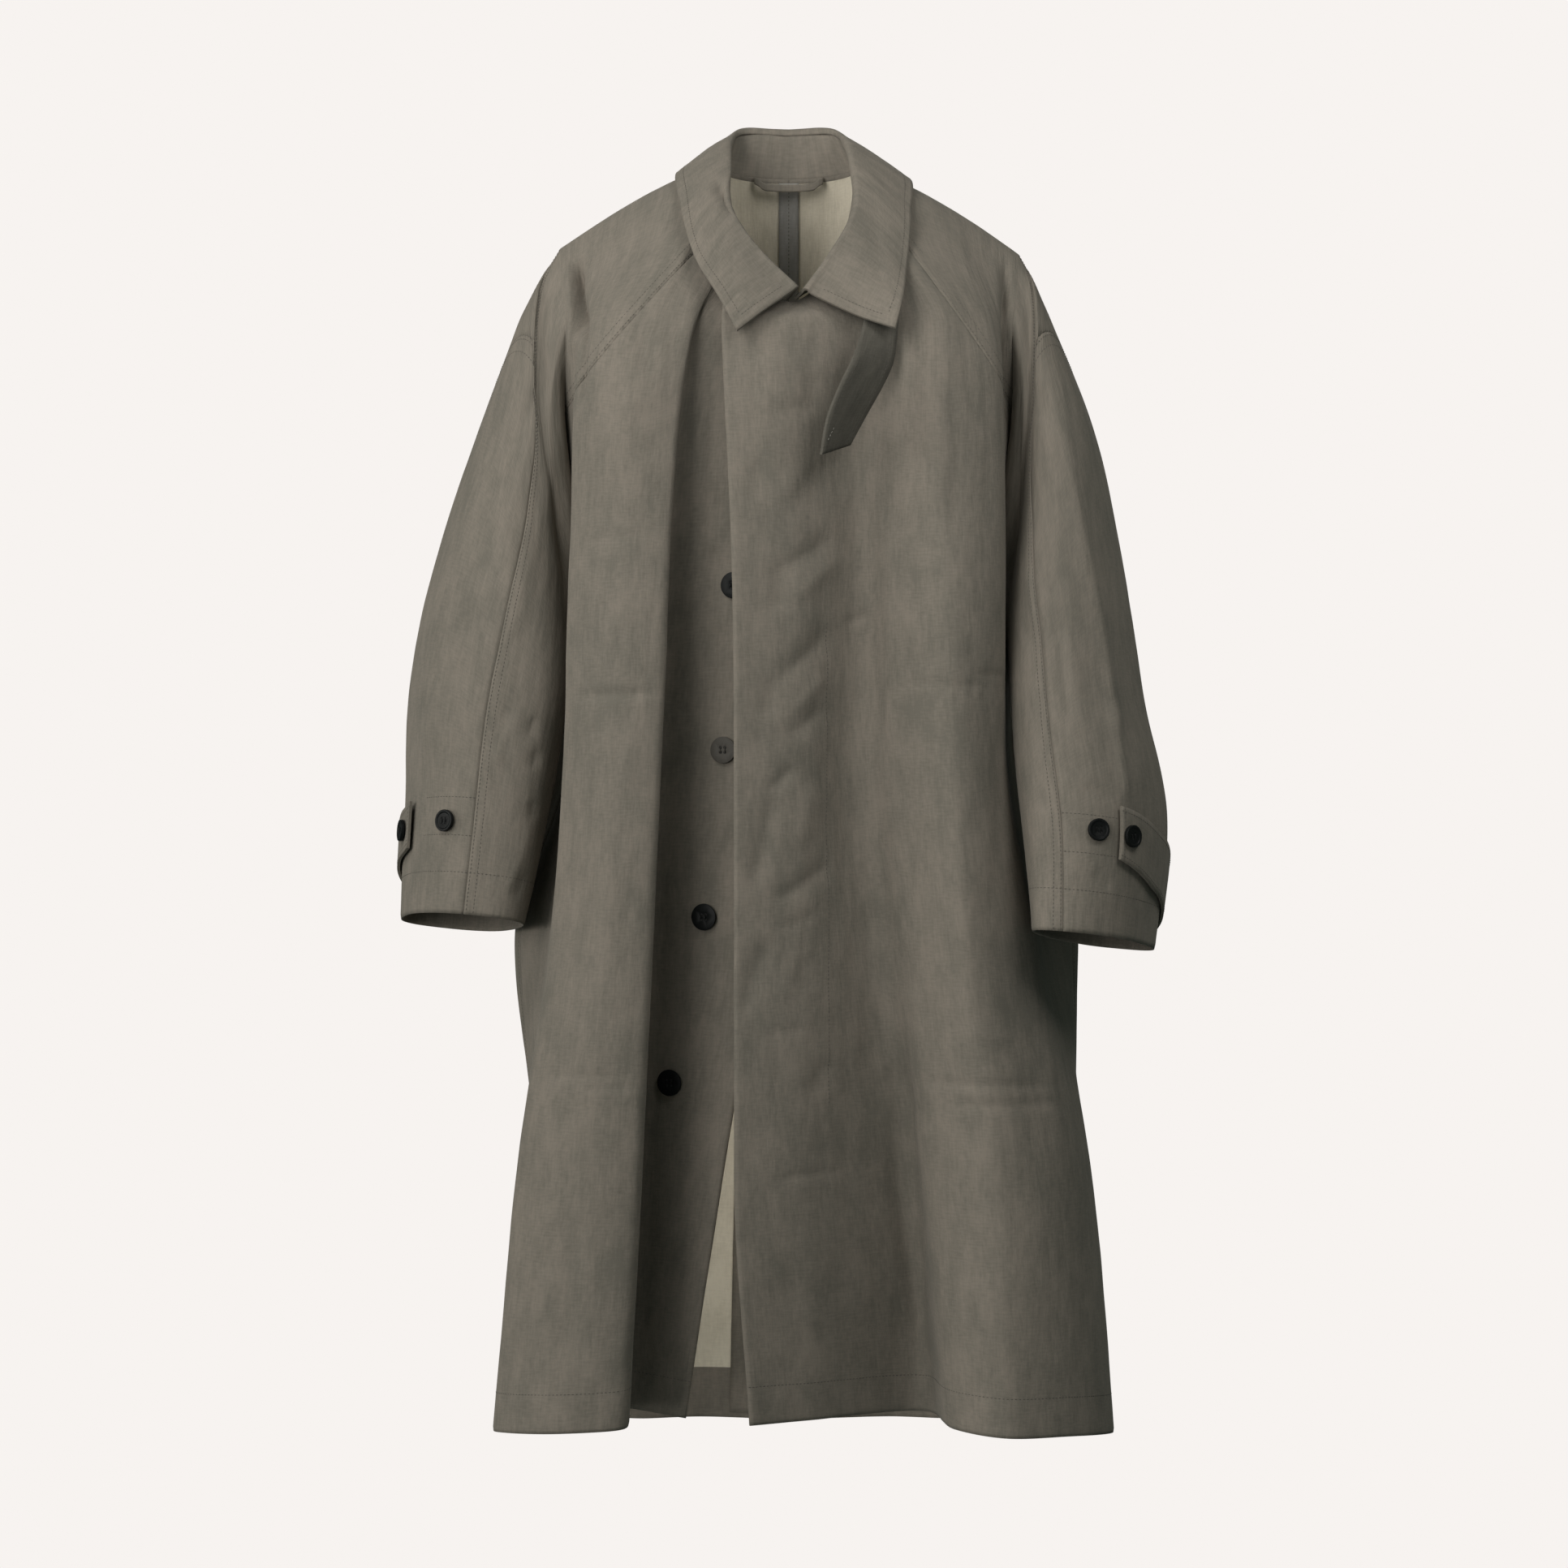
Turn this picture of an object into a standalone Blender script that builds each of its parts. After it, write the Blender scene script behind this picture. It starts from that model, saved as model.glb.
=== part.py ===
"""Raglan coat of bonded cotton, hollow as on a wearer, built panel by panel.

Frame: +X to the wearer's left, the front faces -Y, +Z up.
The origin is in the middle of the neck opening, at the height of the shoulder's neck end.
Tables are in millimetres and the model is in metres.
"""

import math

import bmesh
import bpy
import numpy as np
from mathutils import Matrix, Vector

for old in list(bpy.data.objects):
    bpy.data.objects.remove(old, do_unlink=True)

MM = 0.001

# Cloth and sewing
CLOTH = 1.5
COLLAR_CLOTH = 2.2
STRAP_CLOTH = 2.4
EDGE_TRIM = 0.6
ARMHOLE_TRIM = 4.0
ARMHOLE_NEAR = 1.0
UNDERARM_EYELET = 4.0
UNDERARM_NEAR = 6.0
SHARPEST_CORNER = 0.5
RIGHT_FRONT_TUCK = 9.0
RIGHT_TUCK_PLACES = (0.3, 0.8)
LEFT_FRONT_LAP = 34.0
LAP_REACH = 100.0

# Neck opening and shoulders
NECK_HALF_WIDTH = 62.0
NECK_POINT_Y = 28.0
NECK_POINT_Z = -2.0
NECK_FRONT_REACH = 126.0
NECK_BACK_Y = 62.0
NECK_BACK_Z = -11.0
NECK_FALL = 0.55
NECK_FALL_CURVE = 0.0042
SHOULDER_ARCH = 5.0
SHOULDER_TIP = {-1: (-197.0, 10.0, -79.0), 1: (198.0, 10.0, -84.0)}

# Heights of the sections below the origin; the hem's own height is in each fold line
LEVELS = {"chest": 160.0, "underarm": 345.0, "waist": 500.0, "hip": 680.0, "knee": 860.0, "hem": 1072.0}

# Row between the top line and the chest section: share of the way, over the shoulder and below the neckline
SHOULDER_HEIGHT = 70.0
SHOULDER_SHARE = (0.30, 0.60, 0.44)
NECK_SHARE = (0.40, 0.50, 0.40)

# How the first slope of a sheet is bent, in x, y and z
SHOULDER_START = (1.0, 1.3, 0.10)
NECK_START = (1.0, 1.0, 1.0)
CENTRE_BACK_START = (1.0, 0.0, 0.0)
SHOULDER_BLEND = 0.25

# Fold lines from the front edge to the side seam.
# top is the place on the neckline (-1 centre front to 0 neck point) or on the shoulder (0 to 1 at the tip).
FOLD_COLUMNS = ("top", "chest", "underarm", "waist", "hip", "knee", "hem")
FRONT_RIGHT = {
    "edge": (-1.05, (0, -108), (-3, -120), (-10, -123), (-26, -121), (-54, -112), (-87, -86, -1075)),
    "valley": (-0.62, (-72, -102), (-100, -100), (-113, -94), (-123, -86), (-133, -78), (-145, -68, -1069)),
    "inner": (-0.40, (-88, -112), (-104, -140), (-109, -152), (-118, -160), (-127, -166), (-139, -172, -1071)),
    "crest": (0.0, (-122, -110), (-139, -138), (-144, -151), (-154, -159), (-170, -166), (-187, -172, -1074)),
    "outer": (0.54, (-166, -88), (-180, -106), (-185, -117), (-195, -123), (-222, -128), (-241, -132, -1079)),
    "flank": (0.84, (-181, -60), (-181, -54), (-178, -56), (-205, -54), (-219, -52), (-237, -50, -1086)),
    "side": (1.0, (-189, -50), (-196, 0), (-187, 2), (-232, 5), (-221, 15), (-226, 20, -1094)),
}
FRONT_LEFT = {
    "edge": (-1.55, (-56, -120), (-48, -140), (-46, -148), (-46, -152), (-46, -150), (-32, -144, -1072)),
    "placket": (-1.04, (-8, -122), (-2, -138), (2, -143), (4, -145), (5, -140), (19, -114, -1072)),
    "valley": (-0.62, (61, -110), (59, -113), (58, -113), (76, -112), (102, -94), (120, -63, -1073)),
    "inner": (-0.34, (93, -114), (86, -126), (88, -129), (102, -136), (118, -141), (135, -152, -1073)),
    "crest": (0.0, (128, -114), (130, -147), (135, -157), (148, -164), (168, -172), (176, -182, -1076)),
    "outer": (0.54, (166, -90), (174, -122), (174, -126), (196, -122), (221, -146), (231, -160, -1078)),
    "flank": (0.84, (182, -60), (181, -58), (182, -60), (216, -58), (252, -72), (272, -92, -1086)),
    "side": (1.0, (190, -50), (196, 0), (192, 2), (245, 10), (247, 15), (257, 20, -1096)),
}
# Half of the back, from the centre seam outwards; the last line is the front's own side line.
BACK = {
    "centre": (0.0, (0, 100), (0, 122), (0, 124), (0, 130), (0, 142), (0, 165, -1116)),
    "ridge": (0.5, (42, 104), (55, 127), (60, 134), (66, 142), (72, 154), (80, 174, -1115)),
    "valley": (1.0, (86, 98), (104, 116), (110, 118), (120, 124), (128, 132), (138, 144, -1112)),
    "blade": (1.54, (144, 86), (158, 98), (160, 104), (180, 118), (186, 136), (198, 164, -1111)),
    "flank": (1.84, (178, 60), (187, 54), (199, 52), (237, 50), (223, 74), (238, 86, -1103)),
}

# Rows of quads in each span from the top line to the hem, and columns between fold lines
ROW_SPANS = (3, 2, 5, 3, 3, 3, 4)
FRONT_RIGHT_SPANS = (3, 2, 2, 3, 2, 2)
FRONT_LEFT_SPANS = (2, 3, 2, 2, 3, 2, 2)
BACK_SPANS = (3, 3, 3, 2, 2)
ARMHOLE_ROWS = ROW_SPANS[0] + ROW_SPANS[1] + ROW_SPANS[2]
RAGLAN_END_ROW = 7
RAGLAN_NECK_END = {-1: (-75.0, -88.0), 1: (106.0, -98.0)}
BACK_ARMHOLE_ROW = 9

# Sleeve rings from the armhole to the cuff, by what is seen from the front.
RING_COLUMNS = ("outer_x", "outer_z", "inner_x", "inner_z", "mid_y", "half_depth", "yaw", "tilt", "seam_deg")
SLEEVE_RIGHT = (
    (-197, -79, -196, -345, 0, 48, 0.00, 0.00, 180),
    (-229, -135, -200, -374, 4, 62, 0.08, 0.02, 106),
    (-266, -235, -196, -420, 2, 70, 0.26, 0.05, 99),
    (-304, -350, -193, -474, -8, 80, 0.32, 0.07, 100),
    (-325, -455, -201, -535, -14, 80, 0.32, 0.08, 101),
    (-328, -560, -213, -602, -24, 76, 0.30, 0.10, 102),
    (-332, -654, -227, -665, -36, 70, 0.28, 0.11, 100),
)
SLEEVE_LEFT = (
    (198, -84, 196, -345, 0, 48, 0.00, 0.00, 180),
    (223, -137, 201, -374, -8, 64, 0.12, 0.02, 100),
    (258, -235, 194, -420, -28, 72, 0.25, 0.05, 87),
    (281, -350, 194, -478, -48, 75, 0.34, 0.07, 88),
    (296, -455, 197, -545, -70, 73, 0.40, 0.09, 89),
    (316, -560, 201, -610, -90, 70, 0.42, 0.12, 87),
    (306, -677, 204, -668, -106, 66, 0.42, 0.15, 88),
)
RING_SPANS = (3, 3, 3, 2, 2, 3)
SLEEVE_SQUARENESS = 2.5
ARMHOLE_BLEND = 1.15
BACK_ARMHOLE_HEIGHT = {-1: -170.0, 1: -180.0}
BACK_ARMHOLE_RUN = {"in": 45.0, "forward": 68.0, "down": 14.0}

# Collar stations from the centre back to the front end: roll line and outer edge of the fall.
# neck is the place on the neckline: 2 centre back, 1 neck point, below 0 towards the centre front.
COLLAR_COLUMNS = ("neck", "roll_x", "roll_y", "roll_z", "edge_x", "edge_y", "edge_z")
COLLAR_RIGHT = (
    (2.00, 0, 66, 32, 0, 92, -24),
    (1.45, -40, 60, 32, -61, 86, -22),
    (1.00, -49, 28, 15, -95, 26, -11),
    (-0.18, -50, -8, -14, -92, -41, -50),
    (-0.50, -47, -50, -56, -78, -96, -102),
    (-0.80, -20, -86, -98, -58, -126, -138),
    (-0.97, 8, -112, -127, -43, -138, -167),
)
COLLAR_LEFT = (
    (2.00, 0, 66, 32, 0, 92, -24),
    (1.45, 36, 60, 32, 58, 86, -22),
    (1.00, 48, 28, 13, 103, 24, -15),
    (-0.18, 53, -7, -12, 104, -39, -55),
    (-0.50, 54, -50, -57, 99, -90, -106),
    (-0.80, 34, -86, -97, 94, -128, -140),
    (-0.97, 13, -114, -129, 88, -140, -165),
)
COLLAR_SPANS = (2, 2, 2, 2, 2, 2)
STAND_SEAM_DROP = 4.5
STAND_RISE_BACK = 1.4
STAND_RISE_FRONT = 4.8
STAND_FRONT_Y = (25.0, -15.0)

# Section of the fall from its seam over the roll line to the outer edge
FALL_COLUMNS = ("up", "out", "down", "down_share", "bulge")
FALL_SECTION = (
    (-STAND_SEAM_DROP, 0.0, 0.0, 0.0, 0.0),
    (-1.6, 0.0, 0.0, 0.0, 0.0),
    (1.2, 2.4, 0.0, 0.0, 0.0),
    (0.0, 5.7, 2.0, 0.0, 0.0),
    (0.0, 3.9, 0.0, 0.30, 2.1),
    (0.0, 0.0, 0.0, 0.66, 3.5),
    (0.0, 0.0, 0.0, 1.00, 0.0),
)

# Throat tab, hanging turned on edge: its two long edges from the collar down
TAB_COLUMNS = ("left_x", "left_y", "left_z", "right_x", "right_y", "right_z")
THROAT_TAB = (
    (64, -116, -142, 92, -115, -142),
    (62, -122, -156, 91, -118, -158),
    (58, -140, -174, 89, -123, -174),
    (52, -154, -192, 86, -127, -192),
    (41, -164, -216, 77, -131, -212),
    (31, -170, -243, 63, -134, -237),
    (26, -171, -272, 50, -137, -261),
)
TAB_SPANS = (1, 1, 2, 2, 2, 2)

# Small pieces
LOOP_HALF_WIDTH = 30.0
LOOP_STRIP = 6.5
LOOP_STAND_OFF = 8.0
LOOP_CLOTH = 1.4
LOOP_COLUMNS = ("width_share", "forward", "drop")
LOOP_HALF = ((1.0, -0.5, 2.0), (0.86, 0.5, 4.5), (0.66, 0.5, 8.0), (0.0, 0.0, 9.0))
TAPE_WIDTH = 17.5
TAPE_CLOTH = 0.8
TAPE_GAP = 0.9
TAPE_ROWS = (0.25, 5.5)
VENT_WIDTH = 50.0
VENT_GAP = 0.6
VENT_ROWS = (5.55, 6.98)
STRAP_WIDTH = 0.42
STRAP_RIGHT = {"end_deg": 169.0, "anchor_deg": 270.0, "end_t": 5.18, "anchor_t": 5.62, "button_deg": 178.0}
STRAP_LEFT = {"end_deg": 130.0, "anchor_deg": 240.0, "end_t": 5.19, "anchor_t": 5.66, "button_deg": 139.0}
STRAP_STAND_OFF = (5.0, 2.6)
FRONT_BUTTON = {"radius": 12.5, "thick": 4.0, "rim": 2.4, "dish": 0.9}
CUFF_BUTTON = {"radius": 9.25, "thick": 3.4, "rim": 1.9, "dish": 0.7}
BUTTON_EDGE = 0.8
BUTTON_SEGMENTS = 14
FRONT_BUTTON_LIFT = (0.5, 0.5, 0.8, 1.4)
FRONT_BUTTON_PLACES = ((-45, -376), (-53, -514), (-69, -654), (-99, -793))
CUFF_BUTTON_PLACES = {-1: (126.0, 5.12), 1: (111.0, 5.13)}
CUFF_BUTTON_LIFT = 1.2
STRAP_BUTTON_LIFT = 1.0


def smoothstep(value):
    """Ease from 0 to 1."""
    value = np.clip(value, 0.0, 1.0)
    return value * value * (3.0 - 2.0 * value)


def hermite(knots, values, places, start_scale=None, steady=False):
    """Smooth curve through values at knots.

    start_scale bends its first slope, and steady stops it overshooting.
    """
    knots = np.asarray(knots, float)
    values = np.asarray(values, float)
    places = np.clip(np.asarray(places, float), knots[0], knots[-1])
    shape = (-1,) + (1,) * (values.ndim - 1)
    step = np.diff(knots).reshape(shape)
    chord = np.diff(values, axis=0) / step
    slope = np.empty_like(values)
    slope[0] = chord[0]
    slope[-1] = chord[-1]
    slope[1:-1] = (chord[:-1] * step[1:] + chord[1:] * step[:-1]) / (step[1:] + step[:-1])
    if steady:
        least = 3.0 * np.minimum(np.abs(chord[:-1]), np.abs(chord[1:]))
        same = (chord[:-1] * chord[1:]) > 0
        slope[1:-1] = np.where(same, np.clip(slope[1:-1], -least, least), 0.0)
    if start_scale is not None:
        slope[0] = slope[0] * np.array(start_scale)
    span = np.clip(np.searchsorted(knots, places, side="right") - 1, 0, len(knots) - 2)
    width = (knots[span + 1] - knots[span]).reshape(shape)
    t = ((places - knots[span]) / (knots[span + 1] - knots[span])).reshape(shape)
    return (
        (2 * t**3 - 3 * t**2 + 1) * values[span]
        + (t**3 - 2 * t**2 + t) * width * slope[span]
        + (-2 * t**3 + 3 * t**2) * values[span + 1]
        + (t**3 - t**2) * width * slope[span + 1]
    )


def spread(knots, spans):
    """Places that divide each gap between knots into its number of spans."""
    places = [knots[0]]
    for start, stop, count in zip(knots[:-1], knots[1:], spans):
        places += [start + (stop - start) * (i + 1) / count for i in range(count)]
    return np.array(places)


def top_point(place, side):
    """Point on the top line: centre back 2, neck point 1 (back) and 0 (front), centre front -1."""
    neck = np.array((side * NECK_HALF_WIDTH, NECK_POINT_Y, NECK_POINT_Z))
    turn = min(-place, 1.0) * math.pi / 2
    past = max(-place - 1.0, 0.0)
    y = NECK_POINT_Y - NECK_FRONT_REACH * math.sin(turn)
    forward = NECK_POINT_Y - y
    z = NECK_POINT_Z - forward * (NECK_FALL + NECK_FALL_CURVE * forward)
    x = side * (NECK_HALF_WIDTH * math.cos(turn) - LAP_REACH * past)
    if side < 0:
        begin, end = RIGHT_TUCK_PLACES
        y += RIGHT_FRONT_TUCK * smoothstep((-place - begin) / (end - begin))
    else:
        y -= LEFT_FRONT_LAP * past
    if place >= 0.0:
        arch = np.array((0.0, 0.0, SHOULDER_ARCH * math.sin(math.pi * place)))
        return neck + place * (np.array(SHOULDER_TIP[side]) - neck) + arch
    return np.array((x, y, z))


def back_top_point(place, side):
    """Point on the back's top line: centre back 0, neck point 1, shoulder tip 2."""
    if place >= 1.0:
        return top_point(place - 1.0, side)
    turn = (1.0 - place) * math.pi / 2
    x = side * NECK_HALF_WIDTH * math.cos(turn)
    y = NECK_POINT_Y + (NECK_BACK_Y - NECK_POINT_Y) * math.sin(turn)
    z = NECK_POINT_Z + (NECK_BACK_Z - NECK_POINT_Z) * math.sin(turn)
    return np.array((x, y, z))


def fold_lines(table, side, is_back=False):
    """Fold lines of a table: their places on the top line and their points at the sections."""
    lines = []
    for row in table.values():
        points = []
        for name, place in zip(FOLD_COLUMNS[1:], row[1:]):
            points.append(place if name == "hem" else (*place, -LEVELS[name]))
        lines.append(points)
    tops = [row[0] for row in table.values()]
    return {"side": side, "is_back": is_back, "tops": tops, "lines": np.array(lines, float)}


def fold_sheet(folds, column_places, row_places):
    """Sheet through fold lines: grid[column, row] of points."""
    lines = folds["lines"]
    is_back = folds["is_back"]
    length = np.linalg.norm(np.diff(lines[:, 3:, :], axis=0), axis=2).mean(axis=1)
    across = np.concatenate(([0.0], np.cumsum(length)))
    u = np.interp(column_places, np.arange(len(across), dtype=float), across)
    sections = hermite(across, lines, u, CENTRE_BACK_START if is_back else None)
    tops = np.interp(u, across, folds["tops"])
    find_top = back_top_point if is_back else top_point
    first = np.array([find_top(place, folds["side"]) for place in tops])
    neck_point = 1.0 if is_back else 0.0
    from_neck = smoothstep((tops - neck_point + SHOULDER_BLEND) / SHOULDER_BLEND)[:, None]
    share = np.array(NECK_SHARE) * (1 - from_neck) + np.array(SHOULDER_SHARE) * from_neck
    start = np.array(NECK_START) * (1 - from_neck) + np.array(SHOULDER_START) * from_neck
    second = first + share * (sections[:, 0] - first)
    rows = np.concatenate((first[:, None], second[:, None], sections), axis=1)
    knots = np.array([0.0, SHOULDER_HEIGHT] + list(LEVELS.values()))
    v = np.interp(row_places, np.arange(len(knots), dtype=float), knots)
    return hermite(knots, rows.swapaxes(0, 1), v, start, steady=True).swapaxes(0, 1)


def front_folds(side):
    """Fold lines of one front."""
    return fold_lines(FRONT_RIGHT if side < 0 else FRONT_LEFT, side)


def back_folds(side):
    """Fold lines of one half of the back, ending on the front's side line."""
    front_table = FRONT_RIGHT if side < 0 else FRONT_LEFT
    table = {}
    for name, row in BACK.items():
        places = []
        for number, place in enumerate(row[1:], 1):
            width = abs(front_table["side"][number][0]) / abs(FRONT_RIGHT["side"][number][0])
            places.append((side * place[0] * width, *place[1:]))
        table[name] = (row[0], *places)
    chest_x, chest_y = front_table["side"][1]
    table["side"] = (2.0, (chest_x, -chest_y), *front_table["side"][2:])
    return fold_lines(table, side, is_back=True)


def sleeve_value(table, name, places):
    """One column of the ring table, read smoothly along the sleeve."""
    column = [row[RING_COLUMNS.index(name)] for row in table]
    return hermite(np.arange(len(table)), column, places)


def ring_points(side, angle, t):
    """Sleeve surface at an angle round the ring (0 underarm, 90 front, 180 outer) and place t."""
    table = SLEEVE_RIGHT if side < 0 else SLEEVE_LEFT
    value = {name: sleeve_value(table, name, t) for name in RING_COLUMNS}
    depth = value["half_depth"]
    reach = np.hypot(value["outer_x"] - value["inner_x"], value["outer_z"] - value["inner_z"]) / 2
    swing = depth * value["yaw"]
    half = np.sqrt(np.maximum(reach**2 - swing**2, (0.5 * reach) ** 2))
    along_x = (value["outer_x"] - value["inner_x"]) / (2 * reach)
    along_z = (value["outer_z"] - value["inner_z"]) / (2 * reach)
    power = 2.0 / SLEEVE_SQUARENESS
    cos = -np.cos(angle)
    sin = np.sin(angle)
    across = np.sign(cos) * np.abs(cos) ** power * half
    forward = np.sign(sin) * np.abs(sin) ** power * depth
    x = (value["outer_x"] + value["inner_x"]) / 2 + across * along_x - side * value["yaw"] * forward
    y = value["mid_y"] - forward
    z = (value["outer_z"] + value["inner_z"]) / 2 + across * along_z + value["tilt"] * forward
    return np.stack((x, y, z), axis=-1)


def armhole_angles(side, armhole):
    """Ring angle of each armhole point, found from its height."""
    first = ring_points(side, np.array([0.0, math.pi]), np.zeros(2))[:, 2]
    share = np.clip(2 * (armhole[:, 2] - first[0]) / (first[1] - first[0]) - 1, -1.0, 1.0)
    angle = np.arccos(-np.sign(share) * np.abs(share) ** (SLEEVE_SQUARENESS / 2))
    past_top = np.arange(len(armhole)) > len(armhole) // 2
    return np.where(past_top, 2 * math.pi - angle, angle)


def sleeve_sheet(side, armhole, columns, t_places):
    """Sleeve from the armhole loop to the cuff: grid[column, ring] of points."""
    table = SLEEVE_RIGHT if side < 0 else SLEEVE_LEFT
    seam = np.radians(sleeve_value(table, "seam_deg", t_places))
    half = columns // 2
    grid = np.empty((columns + 1, len(t_places), 3))
    blend = smoothstep(t_places / ARMHOLE_BLEND)
    near = armhole_angles(side, armhole)
    for i in range(columns + 1):
        angle = seam * i / half if i <= half else seam + (2 * math.pi - seam) * (i - half) / half
        ring = ring_points(side, near[i] + (angle - near[i]) * blend, t_places)
        grid[i] = ring + (armhole[i] - ring[0]) * (1 - blend)[:, None]
    return grid


def surface_normal(side, angle, t):
    """Point on the sleeve and the direction that leaves it."""
    step = 0.02
    here = ring_points(side, np.array([angle]), np.array([t]))[0]
    round_it = ring_points(side, np.array([angle + step]), np.array([t]))[0] - here
    down_it = ring_points(side, np.array([angle]), np.array([t + step]))[0] - here
    normal = np.cross(round_it, down_it) * -side
    return here, normal / np.linalg.norm(normal)


def material(name, colour, roughness):
    """Principled material of one colour."""
    made = bpy.data.materials.new(name)
    made.use_nodes = True
    shader = made.node_tree.nodes["Principled BSDF"]
    shader.inputs["Base Color"].default_value = (*colour, 1.0)
    shader.inputs["Roughness"].default_value = roughness
    return made


coat = bpy.data.collections.new("raglan_coat")
bpy.context.scene.collection.children.link(coat)
COLOURS = {
    "outer_cloth": ((0.190, 0.172, 0.146), 0.9),
    "tape": ((0.070, 0.066, 0.060), 0.9),
    "button": ((0.010, 0.011, 0.011), 0.45),
}


def add_object(name, bm, colour, modifiers=()):
    """Object in the coat's collection from a bmesh, with modifiers and its own material."""
    mesh = bpy.data.meshes.new(name)
    bm.to_mesh(mesh)
    bm.free()
    thing = bpy.data.objects.new(name, mesh)
    coat.objects.link(thing)
    mesh.materials.append(material(name, *COLOURS[colour]))
    for kind, settings in modifiers:
        modifier = thing.modifiers.new(kind.title(), kind)
        for key, value in settings.items():
            setattr(modifier, key, value)
    return thing


def grid_bmesh(points):
    """Sheet of quads through grid[column, row] of points in millimetres."""
    columns, rows = points.shape[0] - 1, points.shape[1] - 1
    bm = bmesh.new()
    bmesh.ops.create_grid(bm, x_segments=columns, y_segments=rows, size=1.0)
    bm.verts.ensure_lookup_table()
    flat = points.swapaxes(0, 1).reshape(-1, 3) * MM
    for vertex, place in zip(bm.verts, flat):
        vertex.co = place
    return bm


def keep_side(bm, point, normal, keep_positive):
    """Cut a sheet along a plane and keep one side of it."""
    bmesh.ops.bisect_plane(
        bm,
        geom=bm.verts[:] + bm.edges[:] + bm.faces[:],
        dist=2e-5,
        plane_co=Vector(point) * MM,
        plane_no=Vector(normal),
        clear_inner=keep_positive,
        clear_outer=not keep_positive,
    )


def join_sheets(*sheets):
    """Several sheets as one, joined where their edges coincide."""
    whole = bmesh.new()
    for sheet in sheets:
        carrier = bpy.data.meshes.new("carrier")
        sheet.to_mesh(carrier)
        sheet.free()
        whole.from_mesh(carrier)
        bpy.data.meshes.remove(carrier)
    bmesh.ops.remove_doubles(whole, verts=whole.verts[:], dist=3e-5)
    bmesh.ops.recalc_face_normals(whole, faces=whole.faces[:])
    return whole


def trim_edges(bm, eyelets=(), armhole=()):
    """Draw every edge of a sheet in, so that sewn pieces stay apart."""
    bm.normal_update()
    moves = {}
    for edge in bm.edges:
        if not edge.is_boundary:
            continue
        face = edge.link_faces[0]
        along = (edge.verts[1].co - edge.verts[0].co).normalized()
        inward = face.normal.cross(along)
        if inward.dot(face.calc_center_median() - edge.verts[0].co) < 0:
            inward.negate()
        for vertex in edge.verts:
            moves.setdefault(vertex, []).append(inward)
    for vertex, directions in moves.items():
        total = sum(directions, Vector())
        if total.length < 1e-6:
            continue
        middle = total.normalized()
        reach = max(middle.dot(directions[0]), SHARPEST_CORNER)
        amount = EDGE_TRIM
        for place in armhole:
            if (vertex.co - Vector(place) * MM).length < ARMHOLE_NEAR * MM:
                amount = ARMHOLE_TRIM
        for place in eyelets:
            if (vertex.co - Vector(place) * MM).length < UNDERARM_NEAR * MM:
                amount = UNDERARM_EYELET
        vertex.co += middle * (amount / reach) * MM


def cloth_wall(thickness, offset=0.0):
    """Solidify settings for a sheet of cloth."""
    return (("SOLIDIFY", {"thickness": thickness * MM, "offset": offset, "use_rim": True}),)


row_places = spread(np.arange(len(ROW_SPANS) + 1, dtype=float), ROW_SPANS)
ring_places = spread(np.arange(len(RING_SPANS) + 1, dtype=float), RING_SPANS)

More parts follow.
